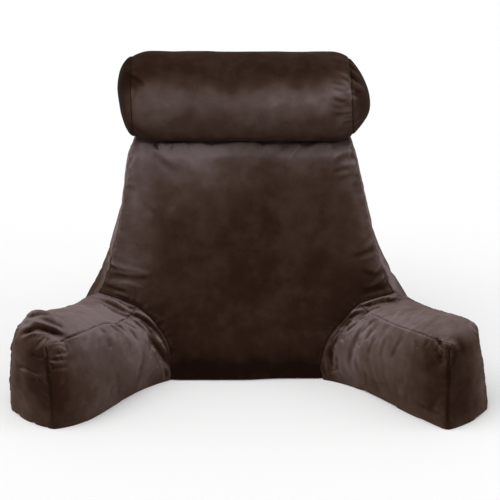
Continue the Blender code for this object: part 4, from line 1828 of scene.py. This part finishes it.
@dataclass
class Studio:
    """A pale floor, soft light and the camera.

    Attributes:
        elevation: The camera's height over the object, as an angle.
        distance: How far it stands from what it looks at, in metres.
        lens: Its focal length, in millimetres, on the usual 36 mm frame.
        aim: What it looks at, as read in the view.
        shift: How far its frame is shifted, as a share of its width.
        floor_reach: How far the floor goes on from its middle, in metres.
        floor_shade: How pale it is.
        surround: Strength of the light from all round.
        lamps: The lights.
    """

    elevation: float = math.radians(21.0)
    distance: float = 3.2
    lens: float = 114.876
    aim: Place = (0, 0, 300)
    shift: tuple[float, float] = (0.006, -0.02)
    floor_reach: float = 200.0
    floor_shade: float = 0.90
    surround: float = 0.43
    lamps: Sequence[Lamp] = (
        Lamp("top_light", math.radians(-40.0), math.radians(68.0), 1.7),
        Lamp("left_light", math.radians(-75.0), math.radians(25.0), 0.7),
        Lamp("right_light", math.radians(75.0), math.radians(25.0), 0.7),
    )

    def build(self) -> None:
        """Set up the studio."""
        self.lay_floor()
        for lamp in self.lamps:
            lamp.hang()
        self.light_world()
        self.place_camera()

    def lay_floor(self) -> None:
        """A wide pale floor."""
        block = bmesh.new()
        bmesh.ops.create_grid(block, x_segments=1, y_segments=1, size=self.floor_reach)
        mesh = bpy.data.meshes.new("floor")
        block.to_mesh(mesh)
        block.free()
        floor = bpy.data.objects.new("floor", mesh)
        bpy.context.collection.objects.link(floor)
        paint = bpy.data.materials.new("floor_paint")
        paint.use_nodes = True
        shader = paint.node_tree.nodes["Principled BSDF"]
        shader.inputs["Base Color"].default_value = (self.floor_shade,) * 3 + (1.0,)
        shader.inputs["Roughness"].default_value = 0.9
        shader.inputs["Specular IOR Level"].default_value = 0.0
        mesh.materials.append(paint)

    def light_world(self) -> None:
        """Even light from all round, shown as it is."""
        world = bpy.data.worlds.new("studio_light")
        world.use_nodes = True
        background = world.node_tree.nodes["Background"]
        background.inputs["Color"].default_value = (1.0, 1.0, 1.0, 1.0)
        background.inputs["Strength"].default_value = self.surround
        bpy.context.scene.world = world
        bpy.context.scene.view_settings.view_transform = "Standard"

    def place_camera(self) -> None:
        """The camera at the photograph's angle."""
        data = bpy.data.cameras.new("camera")
        data.lens = self.lens
        data.sensor_width = 36.0
        data.shift_x, data.shift_y = self.shift
        camera = bpy.data.objects.new("camera", data)
        bpy.context.collection.objects.link(camera)
        aim = as_read(self.aim)
        away = Vector((0.0, -math.cos(self.elevation), math.sin(self.elevation)))
        facing = (-away).to_track_quat("-Z", "Y")
        camera.matrix_world = Matrix.Translation(aim + away * self.distance) @ facing.to_matrix().to_4x4()
        bpy.context.scene.camera = camera


def main() -> None:
    """Build every piece and the studio."""
    logging.basicConfig(level=logging.INFO, format="%(message)s")
    # Besides the pile's tone, these settings paint light and shade: paler where a piece faces up and to the
    # side, paler on fold ridges and darker in troughs, and the strokes' painted shade, shadow and
    # highlight.
    backrest = Backrest(seed=3, painted_side_light=0.35, painted_fold_shading=85.0, wander=0.8 * MM, folds=BACKREST_FOLDS,
                        nudges=BACKREST_NUDGES, strokes=BACKREST_STROKES).build()
    arm_left = Cushion("arm_left", seed=11, beside=("backrest",), turned_down=(-0.69, -0.72, 0.0),
                       pile_and_painted_light=0.28, painted_top_light=0.62, painted_side_light=0.34, folds=ARM_LEFT_FOLDS,
                       drapes=ARM_LEFT_DRAPES, nudges=ARM_LEFT_NUDGES, strokes=ARM_LEFT_STROKES).build()
    arm_right = Cushion("arm_right", seed=23, beside=("backrest",), turned_down=(0.69, -0.72, 0.0),
                        pile_and_painted_light=0.28, painted_top_light=0.60, painted_side_light=0.32, folds=ARM_RIGHT_FOLDS,
                        drapes=ARM_RIGHT_DRAPES, nudges=ARM_RIGHT_NUDGES, strokes=ARM_RIGHT_STROKES).build()
    roll = NeckRoll(seed=31, folds=ROLL_FOLDS, strokes=ROLL_STROKES).build()
    # The pocket is painted pale, standing in for the sheen along its narrow edge.
    pocket = PatchPocket(seed=41, pile_and_painted_light=0.55, arm=arm_left).build()
    for made in (backrest, arm_left, arm_right, roll, pocket):
        log.info("%s: %d triangles", made.name, sum(len(face.vertices) - 2 for face in made.data.polygons))
    Studio().build()


if __name__ == "__main__":
    main()
